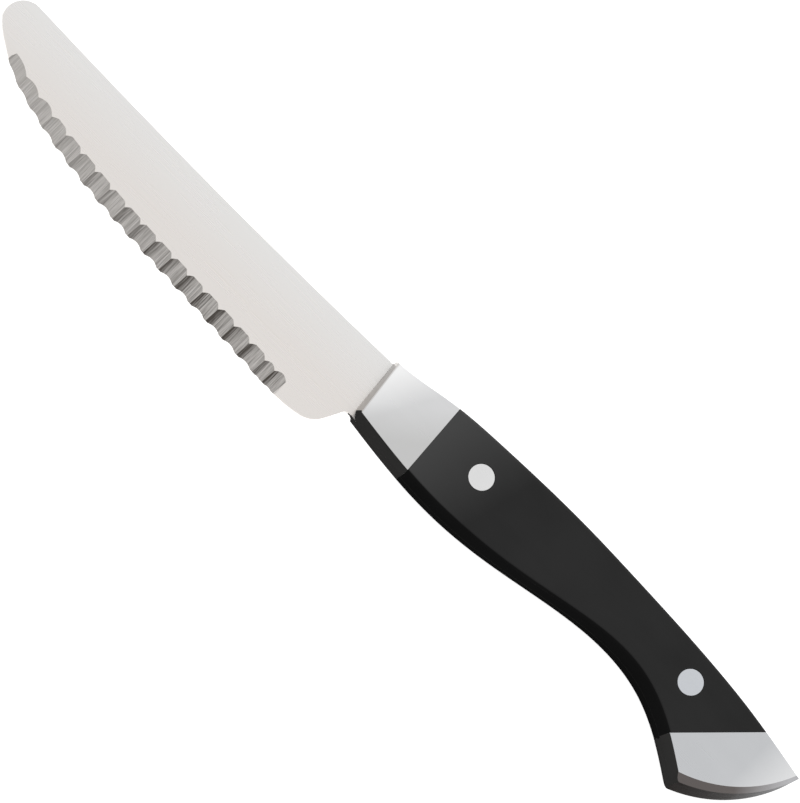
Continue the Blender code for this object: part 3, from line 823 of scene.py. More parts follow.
def model_blade(layout):
    s = layout.sizes
    blade = add_sliced_block("ground_blade_and_tang", blade_sections(layout))
    front = -s.bolster_spine * math.tan(s.bolster_tilt) - s.spine_round

    def is_spine_edge(edge):
        walls = sorted(abs(face.normal.z) for face in edge.link_faces)
        low = min(vert.co.y for vert in edge.verts)
        behind = max(vert.co.x for vert in edge.verts)
        return walls[0] < 0.3 and walls[1] > 0.9 and low > layout.edge_foot.y and behind < front

    def is_ground(face):
        return abs(face.normal.z) > 0.9 and face.calc_center_median().x < 0

    with editing(blade):
        round_butt(layout)
        round_tang_beak(layout)
        select("faces", is_ground)
        bpy.ops.mesh.dissolve_faces()
        bevel(is_spine_edge, s.spine_round, 6)
    boolean(blade, scallop_cutter(layout))
    for place in layout.rivets.values():
        boolean(blade, add_rod("tang_rivet_hole", place, s.tube_radius + HOLE_GAP, -OVERHANG, OVERHANG))
    return blade


# The handle


def add_rod(name, place, radius, low, high, sides=ROUND_SIDES):
    """A round cutter that stands on the knife's plan."""
    bpy.ops.object.select_all(action="DESELECT")
    bpy.ops.mesh.primitive_cylinder_add(
        vertices=sides, radius=radius, depth=high - low, location=(*place, (low + high) / 2)
    )
    made = bpy.context.object
    made.name = name
    bpy.ops.object.transform_apply(location=True, rotation=True, scale=True)
    return made


def add_half_handle(layout, rounding, name):
    """The handle's left half in one run, before it is cut into bolsters and scale."""
    s = layout.sizes
    made = add_block(name, (-OVERHANG, -1, 0), (s.handle_length + OVERHANG, 1, 1))
    with editing(made):
        cut_along(0, HANDLE_SLICES)
        cut_along(2, SIDE_SLICES)
        for height, numbers in places_along(2):
            out = s.side_bulge * (1 - height**2)
            sides = {1: [], -1: []}
            shape = edited()
            shape.verts.ensure_lookup_table()
            for number in numbers:
                sides[1 if shape.verts[number].co.y > 0 else -1].append(number)
            for side, chosen in sides.items():
                move(chosen, (0, side * out, 0))
        for x, numbers in places_along(0):
            shape = edited()
            shape.verts.ensure_lookup_table()
            spine = [number for number in numbers if shape.verts[number].co.y > 0]
            belly = [number for number in numbers if shape.verts[number].co.y < 0]
            move(spine, (0, layout.spine_edge(x) - 1, 0))
            move(belly, (0, layout.belly_edge(x) + 1, 0))
            chosen = set(numbers)
            select("verts", lambda v: v.index in chosen)
            bpy.ops.transform.resize(
                value=(1, 1, layout.half_thickness(x)), center_override=(x, 0, 0)
            )

        def is_long_edge(edge):
            faces = [face.normal for face in edge.link_faces]
            flat = max(normal.z for normal in faces)
            wall = min(normal.z for normal in faces)
            sideways = min(abs(normal.x) for normal in faces)
            return flat > 0.9 and wall < 0.8 and sideways < 0.5

        half_fold = math.radians(36)  # half the angle by which the long edges turn
        bevel(is_long_edge, rounding * math.tan(half_fold), 8)
        inner = s.steel_thickness / 2 + s.seam
        cut_away((0, 0, inner), (0, 0, -1))
    return made


def line_normal(lean, side):
    """Level normal of a standing plane whose plan line leans from square, towards +X or -X."""
    return (side * math.cos(lean), side * math.sin(lean), 0)


def near_plane(point, normal, reach=TOUCHING):
    """A test for edges that lie in a plane."""
    point, normal = Vector(point), Vector(normal)

    def test(edge):
        return all(abs((vert.co - point).dot(normal)) < reach for vert in edge.verts)

    return test


def bolster_front_cutter(layout):
    """What lies ahead of the front bolster. Its wall leans back towards the side face, and more
    so at the belly."""
    s = layout.sizes
    top = s.front_thickness / 2
    high = 1.2  # the cutter's height as a share of the bolster's
    sections = []
    for y in np.linspace(-s.edge_depth, s.edge_depth, BOLSTER_FRONT_STEPS):
        steel = slanted(0, y, s.bolster_tilt).x
        face = slanted(s.bolster_draft, y, s.bolster_face_tilt).x
        wall = steel + (face - steel) * high
        sections.append(
            [
                (steel - 2 * OVERHANG, y, 0),
                (steel - 2 * OVERHANG, y, top * high),
                (steel, y, 0),
                (wall, y, top * high),
            ]
        )
    return add_sliced_block("bolster_front_cutter", sections)


def model_front_bolster(layout, blank):
    s = layout.sizes
    made = copy_of(blank, "front_bolster_cap_left")
    top = s.front_thickness / 2
    boolean(made, bolster_front_cutter(layout))
    with editing(made):
        seam_point = (s.bolster_length - s.seam / 2, 0, 0)
        seam = line_normal(s.seam_tilt, 1)
        cut_away(seam_point, seam)
        corner = slanted(0, layout.belly_points[0].y + s.bolster_corner, s.bolster_tilt)
        turn = s.bolster_corner_angle
        draft = s.bolster_draft / top
        normal = Vector((-math.sin(turn), -math.cos(turn), draft * math.sin(turn))).normalized()
        cut_away((*corner, 0), normal)
        bevel(near_plane(seam_point, seam), METAL_SEAM_BEVEL, 2)

        face = Vector((s.bolster_draft, 0, top))
        run = slanted(0, 1, s.bolster_face_tilt)
        wall = Vector((-run.y * top, run.x * top, s.bolster_draft)).normalized()
        round_off(face, wall, (0, 0, 1), s.front_rounding, 5)
    return made


def model_scale(layout, blank):
    s = layout.sizes
    made = copy_of(blank, "handle_scale_slab_left")
    front = (s.bolster_length + s.seam / 2, 0, 0)
    rear = (layout.rear_seam_at - s.seam / 2, 0, 0)
    front_normal = line_normal(s.seam_tilt, -1)
    rear_normal = line_normal(layout.rear_lean, 1)
    with editing(made):
        cut_away(front, front_normal)
        cut_away(rear, rear_normal)
        bevel(near_plane(front, front_normal), SCALE_SEAM_BEVEL, 2)
        bevel(near_plane(rear, rear_normal), SCALE_SEAM_BEVEL, 2)
    for place in layout.rivets.values():
        half = layout.half_thickness(place.x)
        seat = half - s.rivet_head_depth - s.seam
        tube = add_rod("tube_hole", place, s.tube_radius + HOLE_GAP, -1, half + 1)
        boolean(made, tube)
        head = add_rod("head_hole", place, s.rivet_radius + s.seam, seat, half + 1)
        boolean(made, head)
    return made


def butt_cutter(layout):
    """A wide round that ends in the butt's chamfer. Its top circle is smaller, and set off
    centre, so that the chamfer narrows from the beak to the point."""
    s = layout.sizes
    top = s.butt_thickness / 2
    made = add_rod("butt_cutter", layout.butt_centre, s.butt_radius, -1, top - s.chamfer_depth, BUTT_SIDES)
    beak = layout.butt_angle(layout.belly_edge)
    point = layout.butt_angle(layout.spine_edge)
    middle = (beak + point) / 2
    spare = 0.5  # how far the round goes on past the side face
    grow = 1 + spare / s.chamfer_depth
    mean = (s.chamfer_beak + s.chamfer_point) / 2 * grow
    shift = (s.chamfer_beak - s.chamfer_point) / 2 * grow / math.sin((point - beak) / 2)
    tangent = Vector((-math.sin(middle), math.cos(middle)))
    with editing(made):
        select("faces", lambda f: f.normal.z > 0.9)
        bpy.ops.mesh.extrude_region_move(
            TRANSFORM_OT_translate={"value": (*(tangent * shift), s.chamfer_depth + spare)}
        )
        scale = (s.butt_radius - mean) / s.butt_radius
        centre = layout.butt_centre + tangent * shift
        bpy.ops.transform.resize(value=(scale, scale, 1), center_override=(*centre, 0))
    return made


def model_rear_bolster(layout, blank):
    s = layout.sizes
    made = copy_of(blank, "rear_bolster_cap_left")
    seam_point = (layout.rear_seam_at + s.seam / 2, 0, 0)
    seam = line_normal(layout.rear_lean, -1)
    with editing(made):
        cut_away(seam_point, seam)
        bevel(near_plane(seam_point, seam), METAL_SEAM_BEVEL, 2)
    boolean(made, butt_cutter(layout), "INTERSECT")

    top = s.butt_thickness / 2
    corners = []
    for out in (s.side_bulge, 0):
        beak = layout.butt_angle(lambda x: layout.belly_edge(x) - out)
        corners.append(arc(layout.butt_centre, s.butt_radius, beak, beak, 0)[0])
    low, high = corners
    rise = Vector((*(high - low), top)).normalized()
    along = Vector((1, layout.belly_edge(high.x) - layout.belly_edge(high.x - 1), 0))
    belly = along.cross(rise).normalized()
    butt = Vector((*(high - layout.butt_centre), 0)).normalized()
    with editing(made):
        round_off((*low, 0), belly, butt, s.beak_radius, 5)
    return made


def make_rivet(layout, end, kind):
    """A rivet half, spun from its profile: a socket with its tube from the left, or a post."""
    s = layout.sizes
    place = layout.rivets[end]
    half = layout.half_thickness(place.x)
    under = half - s.rivet_head_depth
    bore = s.post_radius + HOLE_GAP
    roof = half - s.rivet_roof
    rim = RIM_ROUNDING
    dome = s.rivet_dome
    head = [(s.rivet_radius, under), (s.rivet_radius, half - dome - rim)]
    for turn in np.linspace(0, math.pi / 2, 5)[1:]:
        r = s.rivet_radius - rim + rim * math.cos(turn)
        head.append((r, half - dome - rim + rim * math.sin(turn)))
    for r in np.linspace(s.rivet_radius - rim, 0, 7)[1:]:
        head.append((r, half - dome * (r / (s.rivet_radius - rim)) ** 2))
    tube_end = -(under - s.rivet_end_gap)
    post_end = -(roof - s.rivet_end_gap)
    if kind == "socket":
        profile = [(0, roof), (bore, roof), (bore, tube_end), (s.tube_radius, tube_end)]
        profile.append((s.tube_radius, under))
    else:
        profile = [(0, post_end), (s.post_radius, post_end), (s.post_radius, under)]
    profile += head
    bpy.ops.object.select_all(action="DESELECT")
    bpy.ops.mesh.primitive_plane_add(size=1, location=(0, 0, 0))
    made = bpy.context.object
    made.name = f"{end}_rivet_{kind}_turned"
    with editing(made):
        bpy.ops.mesh.select_mode(type="VERT")
        bpy.ops.mesh.select_all(action="SELECT")
        bpy.ops.mesh.merge(type="CENTER")
        start = Vector((place.x + profile[0][0], place.y, profile[0][1]))
        bpy.ops.transform.translate(value=start)
        for (r, z), (next_r, next_z) in zip(profile, profile[1:]):
            bpy.ops.mesh.extrude_region_move(
                TRANSFORM_OT_translate={"value": (next_r - r, 0, next_z - z)}
            )
        bpy.ops.mesh.select_all(action="SELECT")
        bpy.ops.mesh.spin(
            steps=ROUND_SIDES, angle=2 * math.pi, center=(*place, 0), axis=(0, 0, 1), use_auto_merge=True
        )
        bpy.ops.mesh.select_all(action="SELECT")
        bpy.ops.mesh.remove_doubles(threshold=1e-3)
        if kind == "post":
            bpy.ops.transform.resize(value=(1, 1, -1), center_override=(0, 0, 0))
        bpy.ops.mesh.normals_make_consistent(inside=False)
    return made


# Finishes


def put(tree, kind, inputs=None, **settings):
    """Adds a node. An input is a value, or another node's socket to link."""
    made = tree.nodes.new(kind)
    for name, value in settings.items():
        setattr(made, name, value)
    for key, value in (inputs or {}).items():
        if isinstance(value, bpy.types.NodeSocket):
            tree.links.new(value, made.inputs[key])
        else:
            made.inputs[key].default_value = value
    return made


def new_material(name):
    made = bpy.data.materials.new(name)
    made.use_nodes = True
    made.node_tree.nodes.clear()
    return made, made.node_tree


def pattern(tree, turn, stretch, scale, detail=3.0):
    """Noise on the object's own coordinates, turned in the knife's plan and stretched."""
    where = put(tree, "ShaderNodeTexCoord").outputs["Object"]
    placed = put(
        tree,
        "ShaderNodeMapping",
        {"Vector": where, "Rotation": (0, 0, turn), "Scale": stretch},
    ).outputs["Vector"]
    noise = put(
        tree,
        "ShaderNodeTexNoise",
        {"Vector": placed, "Scale": scale, "Detail": detail, "Roughness": 0.55},
    )
    return noise.outputs["Fac"]


def ranged(tree, value, low, high, start=0.3, end=0.7):
    """Maps a pattern's middle range to the range from low to high."""
    return put(
        tree,
        "ShaderNodeMapRange",
        {"Value": value, "From Min": start, "From Max": end, "To Min": low, "To Max": high},
    ).outputs["Result"]


def tinted(tree, amount, first, second):
    """Mixes two colours by an amount."""
    made = put(tree, "ShaderNodeMix", data_type="RGBA")
    tree.links.new(amount, made.inputs[0])
    for index, value in ((6, first), (7, second)):
        if isinstance(value, bpy.types.NodeSocket):
            tree.links.new(value, made.inputs[index])
        else:
            made.inputs[index].default_value = (*value, 1)
    return made.outputs[2]


def shaded(value, amount):
    """A colour made lighter or darker."""
    return tuple(min(part * amount, 1) for part in value)


def edge_wear(tree, radius):
    """1 on worn edges and 0 on faces, from how far a rounded normal leaves the true one."""
    soft = put(tree, "ShaderNodeBevel", {"Radius": radius}, samples=4).outputs["Normal"]
    true = put(tree, "ShaderNodeNewGeometry").outputs["Normal"]
    both = put(tree, "ShaderNodeVectorMath", {0: soft, 1: true}, operation="DOT_PRODUCT")
    return put(
        tree,
        "ShaderNodeMapRange",
        {"Value": both.outputs["Value"], "From Min": 0.995, "From Max": 0.9, "To Min": 0.0},
    ).outputs["Result"]


def combined(tree, operation, first, second):
    """Two values put together, kept from 0 to 1."""
    made = put(
        tree, "ShaderNodeMath", {0: first, 1: second}, operation=operation, use_clamp=True
    )
    return made.outputs["Value"]


def fade(tree, start, end):
    """0 at one place on the knife, 1 at another, and even between them."""
    way = (end - start) / (end - start).length_squared
    where = put(tree, "ShaderNodeTexCoord").outputs["Object"]
    along = put(tree, "ShaderNodeVectorMath", {0: where, 1: way}, operation="DOT_PRODUCT")
    return ranged(tree, along.outputs["Value"], 0, 1, start.dot(way), end.dot(way))


def facing(tree, way, start, end):
    """0 to 1 as a surface turns to face a way, between two cosines of the angle."""
    normal = put(tree, "ShaderNodeNewGeometry").outputs["Normal"]
    part = put(tree, "ShaderNodeVectorMath", {0: normal, 1: way}, operation="DOT_PRODUCT")
    return ranged(tree, part.outputs["Value"], 0, 1, start, end)


def satin_metal(
    name, base, roughness, turn, line_scale, bump, variation=0.06, tints=(), edge_tint=1.0
):
    """Brushed metal: fine lines along one way, soft patches, and bright worn edges. A tint is (fade or
    facing, its values, colour); the bolsters' and the butt's tints are painted highlight and shade.
    The edge tint is its brightness where it is seen edge on."""
    made, tree = new_material(name)
    lines = pattern(tree, turn, (0.04, 1, 1), line_scale, 4)
    fine = pattern(tree, turn, (0.08, 1, 1), line_scale * 3.1, 2)
    patches = pattern(tree, 0, (1, 1, 1), 55, 3)
    worn = edge_wear(tree, 0.00025)
    base_low, base_high = shaded(base, 1 - variation), shaded(base, 1 + variation)
    by_patch = tinted(tree, ranged(tree, patches, 0, 1), base_low, base_high)
    by_line = tinted(tree, ranged(tree, lines, 0.0, 0.35), by_patch, base_low)
    surface = tinted(tree, worn, by_line, shaded(base, 1.12))
    for amount, values, tint in tints:
        surface = tinted(tree, amount(tree, *values), surface, tint)
    rough_lines = ranged(tree, lines, roughness - 0.04, roughness + 0.05)
    rough = put(
        tree,
        "ShaderNodeMath",
        {0: rough_lines, 1: ranged(tree, patches, -0.02, 0.03)},
        operation="ADD",
    ).outputs["Value"]
    height = put(
        tree, "ShaderNodeMath", {0: lines, 1: fine}, operation="ADD"
    ).outputs["Value"]
    relief = put(tree, "ShaderNodeBump", {"Height": height, "Strength": bump, "Distance": 2e-5})
    shader = put(
        tree,
        "ShaderNodeBsdfPrincipled",
        {
            "Base Color": surface,
            "Metallic": 1.0,
            "Specular Tint": (edge_tint, edge_tint, edge_tint, 1),
            "Roughness": rough,
            "Normal": relief.outputs["Normal"],
        },
    )
    put(tree, "ShaderNodeOutputMaterial", {"Surface": shader.outputs["BSDF"]})
    return made


def ground_scallops(name, layout, colours):
    """Scallops as the wheel leaves them: uneven lines across the edge, and painted shade on each
    scallop's tip side, whose surface turns towards the heel, more so towards the heel."""
    made, tree = new_material(name)
    lean = layout.sizes.scallop_lean
    coarse = pattern(tree, lean, (1, 0.02, 0.02), 3600, 3)
    fine = pattern(tree, lean, (1, 0.03, 0.03), 9000, 2)
    both = put(tree, "ShaderNodeMath", {0: coarse, 1: fine}, operation="ADD").outputs["Value"]
    # Painted shade: darker where the scallop's surface turns towards the heel, stronger towards the heel
    shade_facing = facing(tree, (1, 0, 0), 0.01, 0.125)
    grown = fade(tree, layout.place(layout.tip, 0), layout.place(layout.tip / 3, 0))
    strength = ranged(tree, grown, 0.35, 1, 0, 1)
    painted_scallop_shade = combined(tree, "MULTIPLY", shade_facing, ranged(tree, grown, 0.25, 0.75, 0, 1))
    lined = ranged(tree, coarse, 0, 0.5, 0.42, 0.66)
    thin = ranged(tree, fine, 0, 0.35, 0.4, 0.65)
    lines = combined(tree, "MULTIPLY", combined(tree, "ADD", lined, thin), strength)
    # Painted shade and grinding lines together
    dark = combined(tree, "ADD", painted_scallop_shade, lines)
    surface = tinted(tree, dark, colours.scallop, colours.scallop_lines_and_painted_shade)
    relief = put(tree, "ShaderNodeBump", {"Height": both, "Strength": 0.4, "Distance": 2e-5})
    shader = put(
        tree,
        "ShaderNodeBsdfPrincipled",
        {
            "Base Color": surface,
            "Metallic": 1.0,
            "Roughness": ranged(tree, coarse, 0.22, 0.36),
            "Normal": relief.outputs["Normal"],
        },
    )
    put(tree, "ShaderNodeOutputMaterial", {"Surface": shader.outputs["BSDF"]})
    return made


def moulded_plastic(name, base, sheen, tints=()):
    """Black plastic: a fine grain, faint long bands, a low sheen and greyer rubbed edges. Its
    tints, where given, are painted sheen and shade.
    """
    made, tree = new_material(name)
    grain = pattern(tree, 0, (1, 1, 1), 5200, 2)
    bands = pattern(tree, 0.05, (0.25, 1, 1), 190, 3)
    patches = pattern(tree, 0, (1, 1, 1), 34, 3)
    worn = edge_wear(tree, 0.0005)
    soft = tinted(tree, ranged(tree, patches, 0, 1), shaded(base, 0.8), shaded(base, 1.2))
    banded = tinted(tree, ranged(tree, bands, 0, 0.5), soft, shaded(base, 1.35))
    surface = tinted(tree, worn, banded, shaded(base, 1.3))
    for amount, values, tint in tints:
        surface = tinted(tree, amount(tree, *values), surface, tint)
    rough = put(
        tree,
        "ShaderNodeMath",
        {0: ranged(tree, grain, 0.40, 0.48), 1: ranged(tree, bands, -0.03, 0.03)},
        operation="ADD",
    ).outputs["Value"]
    relief = put(tree, "ShaderNodeBump", {"Height": grain, "Strength": 0.25, "Distance": 2e-5})
    shader = put(
        tree,
        "ShaderNodeBsdfPrincipled",
        {
            "Base Color": surface,
            "Roughness": rough,
            "Specular IOR Level": sheen,
            "Normal": relief.outputs["Normal"],
        },
    )
    put(tree, "ShaderNodeOutputMaterial", {"Surface": shader.outputs["BSDF"]})
    return made


def painted_shade_side(name, base):
    """Painted shade: a dark matt finish without sheen for the handle's belly side, made once for all its
    pieces.
    """
    known = bpy.data.materials.get(name)
    return known or moulded_plastic(name, base, 0.0)


def butt_painted_light(name, base, edge_tint, layout, bright):
    """Ground metal of the butt, in painted shade from a dark colour and a low edge tint, brightening
    to a painted highlight towards its point, made once for all its pieces.
    """
    known = bpy.data.materials.get(name)
    if known:
        return known
    point = layout.place(layout.sizes.handle_length, 0)
    beak = layout.place(*layout.belly_points[-1])
    return satin_metal(
        name,
        base,
        roughness=0.30,
        turn=0.0,
        line_scale=700,
        bump=0.08,
        variation=0.05,
        tints=((fade, (beak.lerp(point, 0.5), point), bright),),
        edge_tint=edge_tint,
    )


def is_belly_side(face):
    return face.normal.y < -0.45 and abs(face.normal.z) < 0.9


def is_end_wall(face):
    return face.normal.x > 0.25 and abs(face.normal.z) < 0.2


def is_end_chamfer(face):
    return face.normal.x > 0.2 and 0.2 < abs(face.normal.z) < 0.9


def is_hidden_side(face):
    """True on the side that lies against the tang, seen only through the seam."""
    return abs(face.normal.z) > 0.9 and abs(face.calc_center_median().z) < HIDDEN_BELOW


def is_behind(face, x):
    return face.calc_center_median().x > x


# Operators


def current_layout(context):
    return Layout(context.scene.steak_knife_sizes)


class KNIFE_OT_blade(bpy.types.Operator):
    """Models the ground blade and its tang in one piece"""

    bl_idname = "steak_knife.blade"
    bl_label = "Blade and Tang"

    def execute(self, context):
        layout = current_layout(context)
        colours = context.scene.steak_knife_colours
        sizes = layout.sizes
        blade = model_blade(layout)
        upper = layout.place(layout.tip / 2, sizes.bolster_spine)
        lower = layout.place(layout.tip / 2, -sizes.heel_depth / 2)
        steel = satin_metal(
            "blade_satin",
            colours.blade,
            roughness=0.27,
            turn=0.0,
            line_scale=900,
            bump=0.01,
            variation=0.006,
            tints=((fade, (upper, lower), colours.blade_belly),),
        )
        ground = ground_scallops("scallop_grind", layout, colours)
        # Painted shade: dark matt finishes on the tang's belly side, its hidden flat sides and its belly
        # between the bolsters
        metal = painted_shade_side("metal_belly_dull", colours.metal_belly)
        plastic = painted_shade_side("plastic_belly_dull", colours.plastic_belly)
        wall = butt_painted_light("butt_wall_satin", colours.butt_wall, 0.2, layout, colours.butt_painted_highlight)
        first = layout.tip + sizes.scallop_start * 0.7
        beak = layout.belly_points[-1].x

        def is_scallop(face):
            return face.normal.z > 0.5 and face.normal.y < -0.12 and is_behind(face, first)

        def is_tang_side(face):
            return abs(face.normal.z) > 0.995 and is_behind(face, TANG_SIDE_FROM)

        def is_between_bolsters(face):
            return is_behind(face, sizes.bolster_length) and not is_behind(face, layout.belly_seam)

        give_finish(blade, steel)
        give_finish(blade, ground, is_scallop)
        give_finish(blade, metal, lambda f: is_belly_side(f) and is_behind(f, TANG_BELLY_FROM))
        give_finish(blade, metal, is_tang_side)
        give_finish(blade, plastic, lambda f: is_belly_side(f) and is_between_bolsters(f))
        # The tang's end wall gets the butt's painted shade and highlight
        give_finish(blade, wall, lambda f: is_end_wall(f) and is_behind(f, beak))
        shade(blade, 8)
        settle(blade, layout, "blade_and_tang")
        return {"FINISHED"}


class KNIFE_OT_scales(bpy.types.Operator):
    """Models the two black handle scales with their rivet holes"""

    bl_idname = "steak_knife.scales"
    bl_label = "Handle Scales"

    def execute(self, context):
        layout = current_layout(context)
        colours = context.scene.steak_knife_colours
        blank = add_half_handle(layout, layout.sizes.scale_rounding, "scale_blank")
        left = model_scale(layout, blank)
        bpy.data.objects.remove(blank)
        right = mirrored(left, "handle_scale_slab_right")
        sizes = layout.sizes
        front = layout.place(sizes.bolster_length, 0)
        behind = layout.place(sizes.bolster_length + sizes.handle_depth, -sizes.handle_depth / 4)
        # Painted light on the scales: a sheen fading in towards the front bolster, and shade as the
        # surface turns to the belly
        tints = (
            (fade, (behind, front), colours.plastic_front_painted_sheen),
            (facing, ((0, -1, 0), 0.2, 0.6), colours.plastic_belly),
        )
        finish = moulded_plastic("scale_plastic", colours.plastic, 0.08, tints)
        # Painted shade on the belly side and on the side hidden against the tang
        belly = painted_shade_side("plastic_belly_dull", colours.plastic_belly)
        for piece, node in ((left, "handle_scale_left"), (right, "handle_scale_right")):
            give_finish(piece, finish)
            give_finish(piece, belly, is_belly_side)
            give_finish(piece, belly, is_hidden_side)
            shade(piece, 30)
            settle(piece, layout, node)
        return {"FINISHED"}


class KNIFE_OT_bolsters(bpy.types.Operator):
    """Models the front and rear bolsters, each in two halves"""

    bl_idname = "steak_knife.bolsters"
    bl_label = "Bolsters"

    def execute(self, context):
        layout = current_layout(context)
        colours = context.scene.steak_knife_colours
        blank = add_half_handle(layout, layout.sizes.metal_rounding, "bolster_blank")
        sizes = layout.sizes
        middle = layout.place(sizes.bolster_length / 2, 0)
        brightest = layout.place(1, layout.spine_points[0].y * 0.8)
        dullest = layout.place(sizes.bolster_length * 0.8, layout.belly_points[0].y * 0.7)
        # Painted light on the front bolster: a highlight towards its spine front, shade towards its belly
        # rear, and shade on its front wall
        front_painted_light = (
            (fade, (middle, brightest), colours.bolster_painted_highlight),
            (fade, (middle, dullest), colours.bolster_painted_shade),
            (facing, ((-1, 0, 0), 0.1, 0.9), colours.bolster_front),
        )
        # A painted highlight on the rear bolster, growing towards the butt's point
        before_point = layout.place(sizes.handle_length - sizes.rear_setback * 0.6, 0)
        past_point = layout.place(sizes.handle_length + sizes.rear_setback * 0.35, 0)
        rear_painted_light = ((fade, (before_point, past_point), colours.bolster_painted_highlight),)
        grind = {"roughness": 0.30, "turn": 0.785, "line_scale": 500, "bump": 0.02, "variation": 0.03}
        front_face = satin_metal("front_bolster_satin", colours.bolster, tints=front_painted_light, **grind)
        rear_face = satin_metal("rear_bolster_satin", colours.bolster_rear, tints=rear_painted_light, **grind)
        # Painted shade on the butt's chamfer and end wall, with a painted highlight towards the point
        bright = colours.butt_painted_highlight
        chamfer = butt_painted_light("butt_chamfer_satin", colours.butt_chamfer, 0.5, layout, bright)
        wall = butt_painted_light("butt_wall_satin", colours.butt_wall, 0.2, layout, bright)
        # Painted shade on the bolsters' belly sides and on the sides hidden against the tang
        belly = painted_shade_side("metal_belly_dull", colours.metal_belly)
        models = (("front", model_front_bolster, front_face), ("rear", model_rear_bolster, rear_face))
        for end, model, finish in models:
            left = model(layout, blank)
            right = mirrored(left, f"{end}_bolster_cap_right")
            for word, piece in (("left", left), ("right", right)):
                give_finish(piece, finish)
                give_finish(piece, belly, is_belly_side)
                if end == "rear":
                    give_finish(piece, chamfer, is_end_chamfer)
                    give_finish(piece, wall, is_end_wall)
                give_finish(piece, belly, is_hidden_side)
                shade(piece, 30)
                settle(piece, layout, f"{end}_bolster_{word}")
        bpy.data.objects.remove(blank)
        return {"FINISHED"}


class KNIFE_OT_rivets(bpy.types.Operator):
    """Models the two rivets, each a socket half and a post half"""

    bl_idname = "steak_knife.rivets"
    bl_label = "Rivets"

    def execute(self, context):
        layout = current_layout(context)
        colours = context.scene.steak_knife_colours
        grind = {"roughness": 0.30, "turn": 0.6, "line_scale": 1500, "bump": 0.06, "variation": 0.04}
        for end, base in (("front", colours.front_rivet), ("rear", colours.rear_rivet)):
            finish = satin_metal(f"{end}_rivet_satin", base, **grind)
            for kind in ("socket", "post"):
                piece = make_rivet(layout, end, kind)
                give_finish(piece, finish)
                shade(piece, 30)
                settle(piece, layout, f"{end}_rivet_{kind}")
        return {"FINISHED"}


class KNIFE_OT_pins(bpy.types.Operator):
    """Gives the hidden bolster pins their finish"""

    bl_idname = "steak_knife.pins"
    bl_label = "Bolster Pins"

    def execute(self, context):
        colours = context.scene.steak_knife_colours
        finish = satin_metal(
            "pin_satin", colours.bolster, roughness=0.35, turn=0.0, line_scale=900, bump=0.15
        )
        for end in ("front", "rear"):
            for place in ("upper", "lower"):
                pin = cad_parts[f"{end}_bolster_pin_{place}"]
                for slot in pin.material_slots:
                    slot.material = finish
        return {"FINISHED"}


def add_softbox(name, centre, size, level):
    """A flat lamp that faces the knife, with its width along X. The room stands for it where it
    would be mirrored, so that metal shows one even white."""
    centre = Vector(centre)
    lamp = bpy.data.lights.new(name, "AREA")
    lamp.shape = "RECTANGLE"
    lamp.size, lamp.size_y = size
    lamp.energy = level * math.pi * size[0] * size[1]
    made = bpy.data.objects.new(name, lamp)
    bpy.context.collection.objects.link(made)
    made.location = centre
    made.rotation_euler = Vector((0, centre.y, centre.z)).to_track_quat("Z", "Y").to_euler()
    made.visible_camera = False
    made.visible_glossy = False


def shows(tree):
    """1 where the camera looks, straight on or by way of metal or glass, and 0 for other light."""
    rays = put(tree, "ShaderNodeLightPath").outputs
    turned = combined(tree, "MAXIMUM", rays["Is Glossy Ray"], rays["Is Transmission Ray"])
    return combined(tree, "MAXIMUM", rays["Is Camera Ray"], turned)


def floor_material(base, lift):
    """Pale floor, made brighter where it shows, so that it is a white background."""
    made, tree = new_material("studio_floor")
    specks = pattern(tree, 0, (1, 1, 1), 12, 2)
    surface = tinted(tree, specks, shaded(base, 0.99), shaded(base, 1.01))
    matt = put(tree, "ShaderNodeBsdfDiffuse", {"Color": surface})
    level = combined(tree, "MULTIPLY", shows(tree), lift)
    glow = put(tree, "ShaderNodeEmission", {"Strength": level})
    both = put(
        tree, "ShaderNodeAddShader", {0: matt.outputs["BSDF"], 1: glow.outputs["Emission"]}
    )
    put(tree, "ShaderNodeOutputMaterial", {"Surface": both.outputs["Shader"]})
    return made


def set_world(ambient):
    """A grey room that shows as white."""
    world = bpy.data.worlds.new("studio")
    world.use_nodes = True
    tree = world.node_tree
    tree.nodes.clear()
    level = ranged(tree, shows(tree), ambient, 1.0, 0.0, 1.0)
    room = put(tree, "ShaderNodeBackground", {"Color": (1, 1, 1, 1), "Strength": level})
    put(tree, "ShaderNodeOutputWorld", {"Surface": room.outputs["Background"]})
    bpy.context.scene.world = world


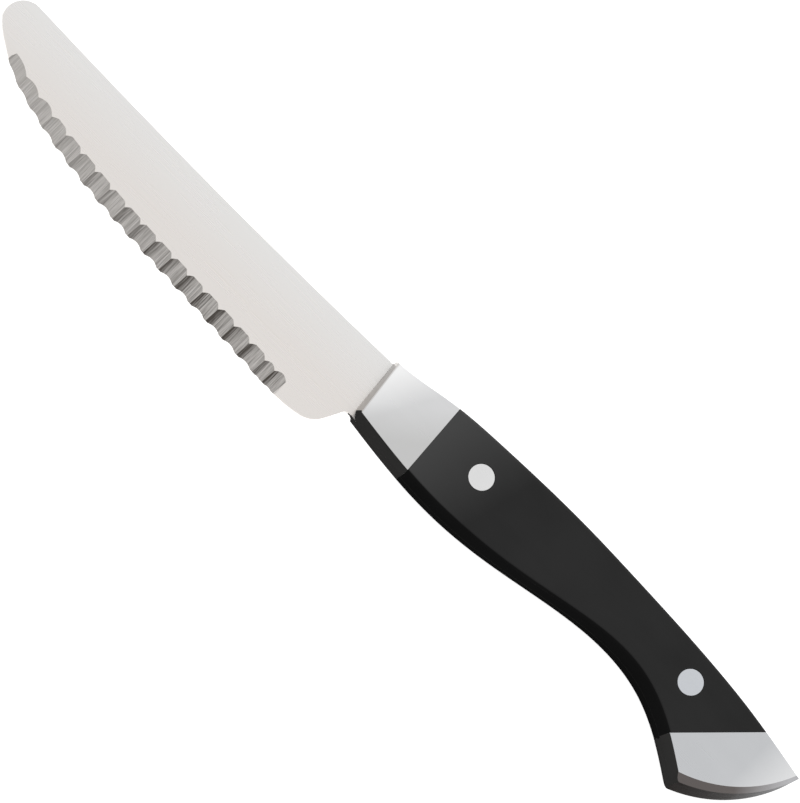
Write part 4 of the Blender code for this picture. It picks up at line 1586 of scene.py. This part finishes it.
class KNIFE_OT_stage(bpy.types.Operator):
    """Sets up the floor, the lamps, the room and the camera"""

    bl_idname = "steak_knife.stage"
    bl_label = "Studio"

    def execute(self, context):
        scene = context.scene
        studio = scene.steak_knife_studio
        layout = current_layout(context)
        middle = layout.zero() + Vector(CAMERA_AIM)

        bpy.ops.object.select_all(action="DESELECT")
        bpy.ops.mesh.primitive_plane_add(size=8, location=(0, 0, 0))
        floor = bpy.context.object
        floor.name = "studio_floor"
        floor.data.materials.append(
            floor_material(scene.steak_knife_colours.floor, studio.floor_lift)
        )

        for name, centre, size in SOFTBOXES:
            add_softbox(name, centre, size, studio.lamp_level)
        set_world(studio.ambient)

        lens = bpy.data.cameras.new("photo_camera")
        lens.sensor_fit = "HORIZONTAL"
        lens.lens = lens.sensor_width * studio.camera_distance / studio.camera_width
        lens.clip_end = 20
        camera = bpy.data.objects.new("photo_camera", lens)
        context.collection.objects.link(camera)
        right = Vector(CAMERA_RIGHT).normalized()
        back = Vector(CAMERA_BACK).normalized()
        up = back.cross(right).normalized()
        right = up.cross(back)
        turn = Matrix((right, up, back)).transposed().to_4x4()
        camera.matrix_world = Matrix.Translation(middle + back * studio.camera_distance) @ turn
        scene.camera = camera
        scene.view_settings.view_transform = "Standard"
        return {"FINISHED"}


class KNIFE_PT_panel(bpy.types.Panel):
    """Lists the knife's sizes, colours and steps"""

    bl_label = "Steak Knife"
    bl_idname = "KNIFE_PT_panel"
    bl_space_type = "VIEW_3D"
    bl_region_type = "UI"
    bl_category = "Steak Knife"

    def draw(self, context):
        column = self.layout.column()
        for operator in OPERATORS:
            column.operator(operator.bl_idname)
        scene = context.scene
        for group in (scene.steak_knife_sizes, scene.steak_knife_colours, scene.steak_knife_studio):
            box = self.layout.box().column()
            for name in type(group).__annotations__:
                box.prop(group, name)


OPERATORS = (
    KNIFE_OT_blade,
    KNIFE_OT_scales,
    KNIFE_OT_bolsters,
    KNIFE_OT_rivets,
    KNIFE_OT_pins,
    KNIFE_OT_stage,
)
GROUPS = (KnifeSizes, KnifeColours, KnifeStudio)


def register():
    for group in GROUPS + OPERATORS + (KNIFE_PT_panel,):
        bpy.utils.register_class(group)
    bpy.types.Scene.steak_knife_sizes = bpy.props.PointerProperty(type=KnifeSizes)
    bpy.types.Scene.steak_knife_colours = bpy.props.PointerProperty(type=KnifeColours)
    bpy.types.Scene.steak_knife_studio = bpy.props.PointerProperty(type=KnifeStudio)


def unregister():
    del bpy.types.Scene.steak_knife_studio
    del bpy.types.Scene.steak_knife_colours
    del bpy.types.Scene.steak_knife_sizes
    for group in reversed(GROUPS + OPERATORS + (KNIFE_PT_panel,)):
        bpy.utils.unregister_class(group)


def main():
    register()
    bpy.ops.steak_knife.blade()
    bpy.ops.steak_knife.scales()
    bpy.ops.steak_knife.bolsters()
    bpy.ops.steak_knife.rivets()
    bpy.ops.steak_knife.pins()
    bpy.ops.steak_knife.stage()


if __name__ == "__main__":
    main()
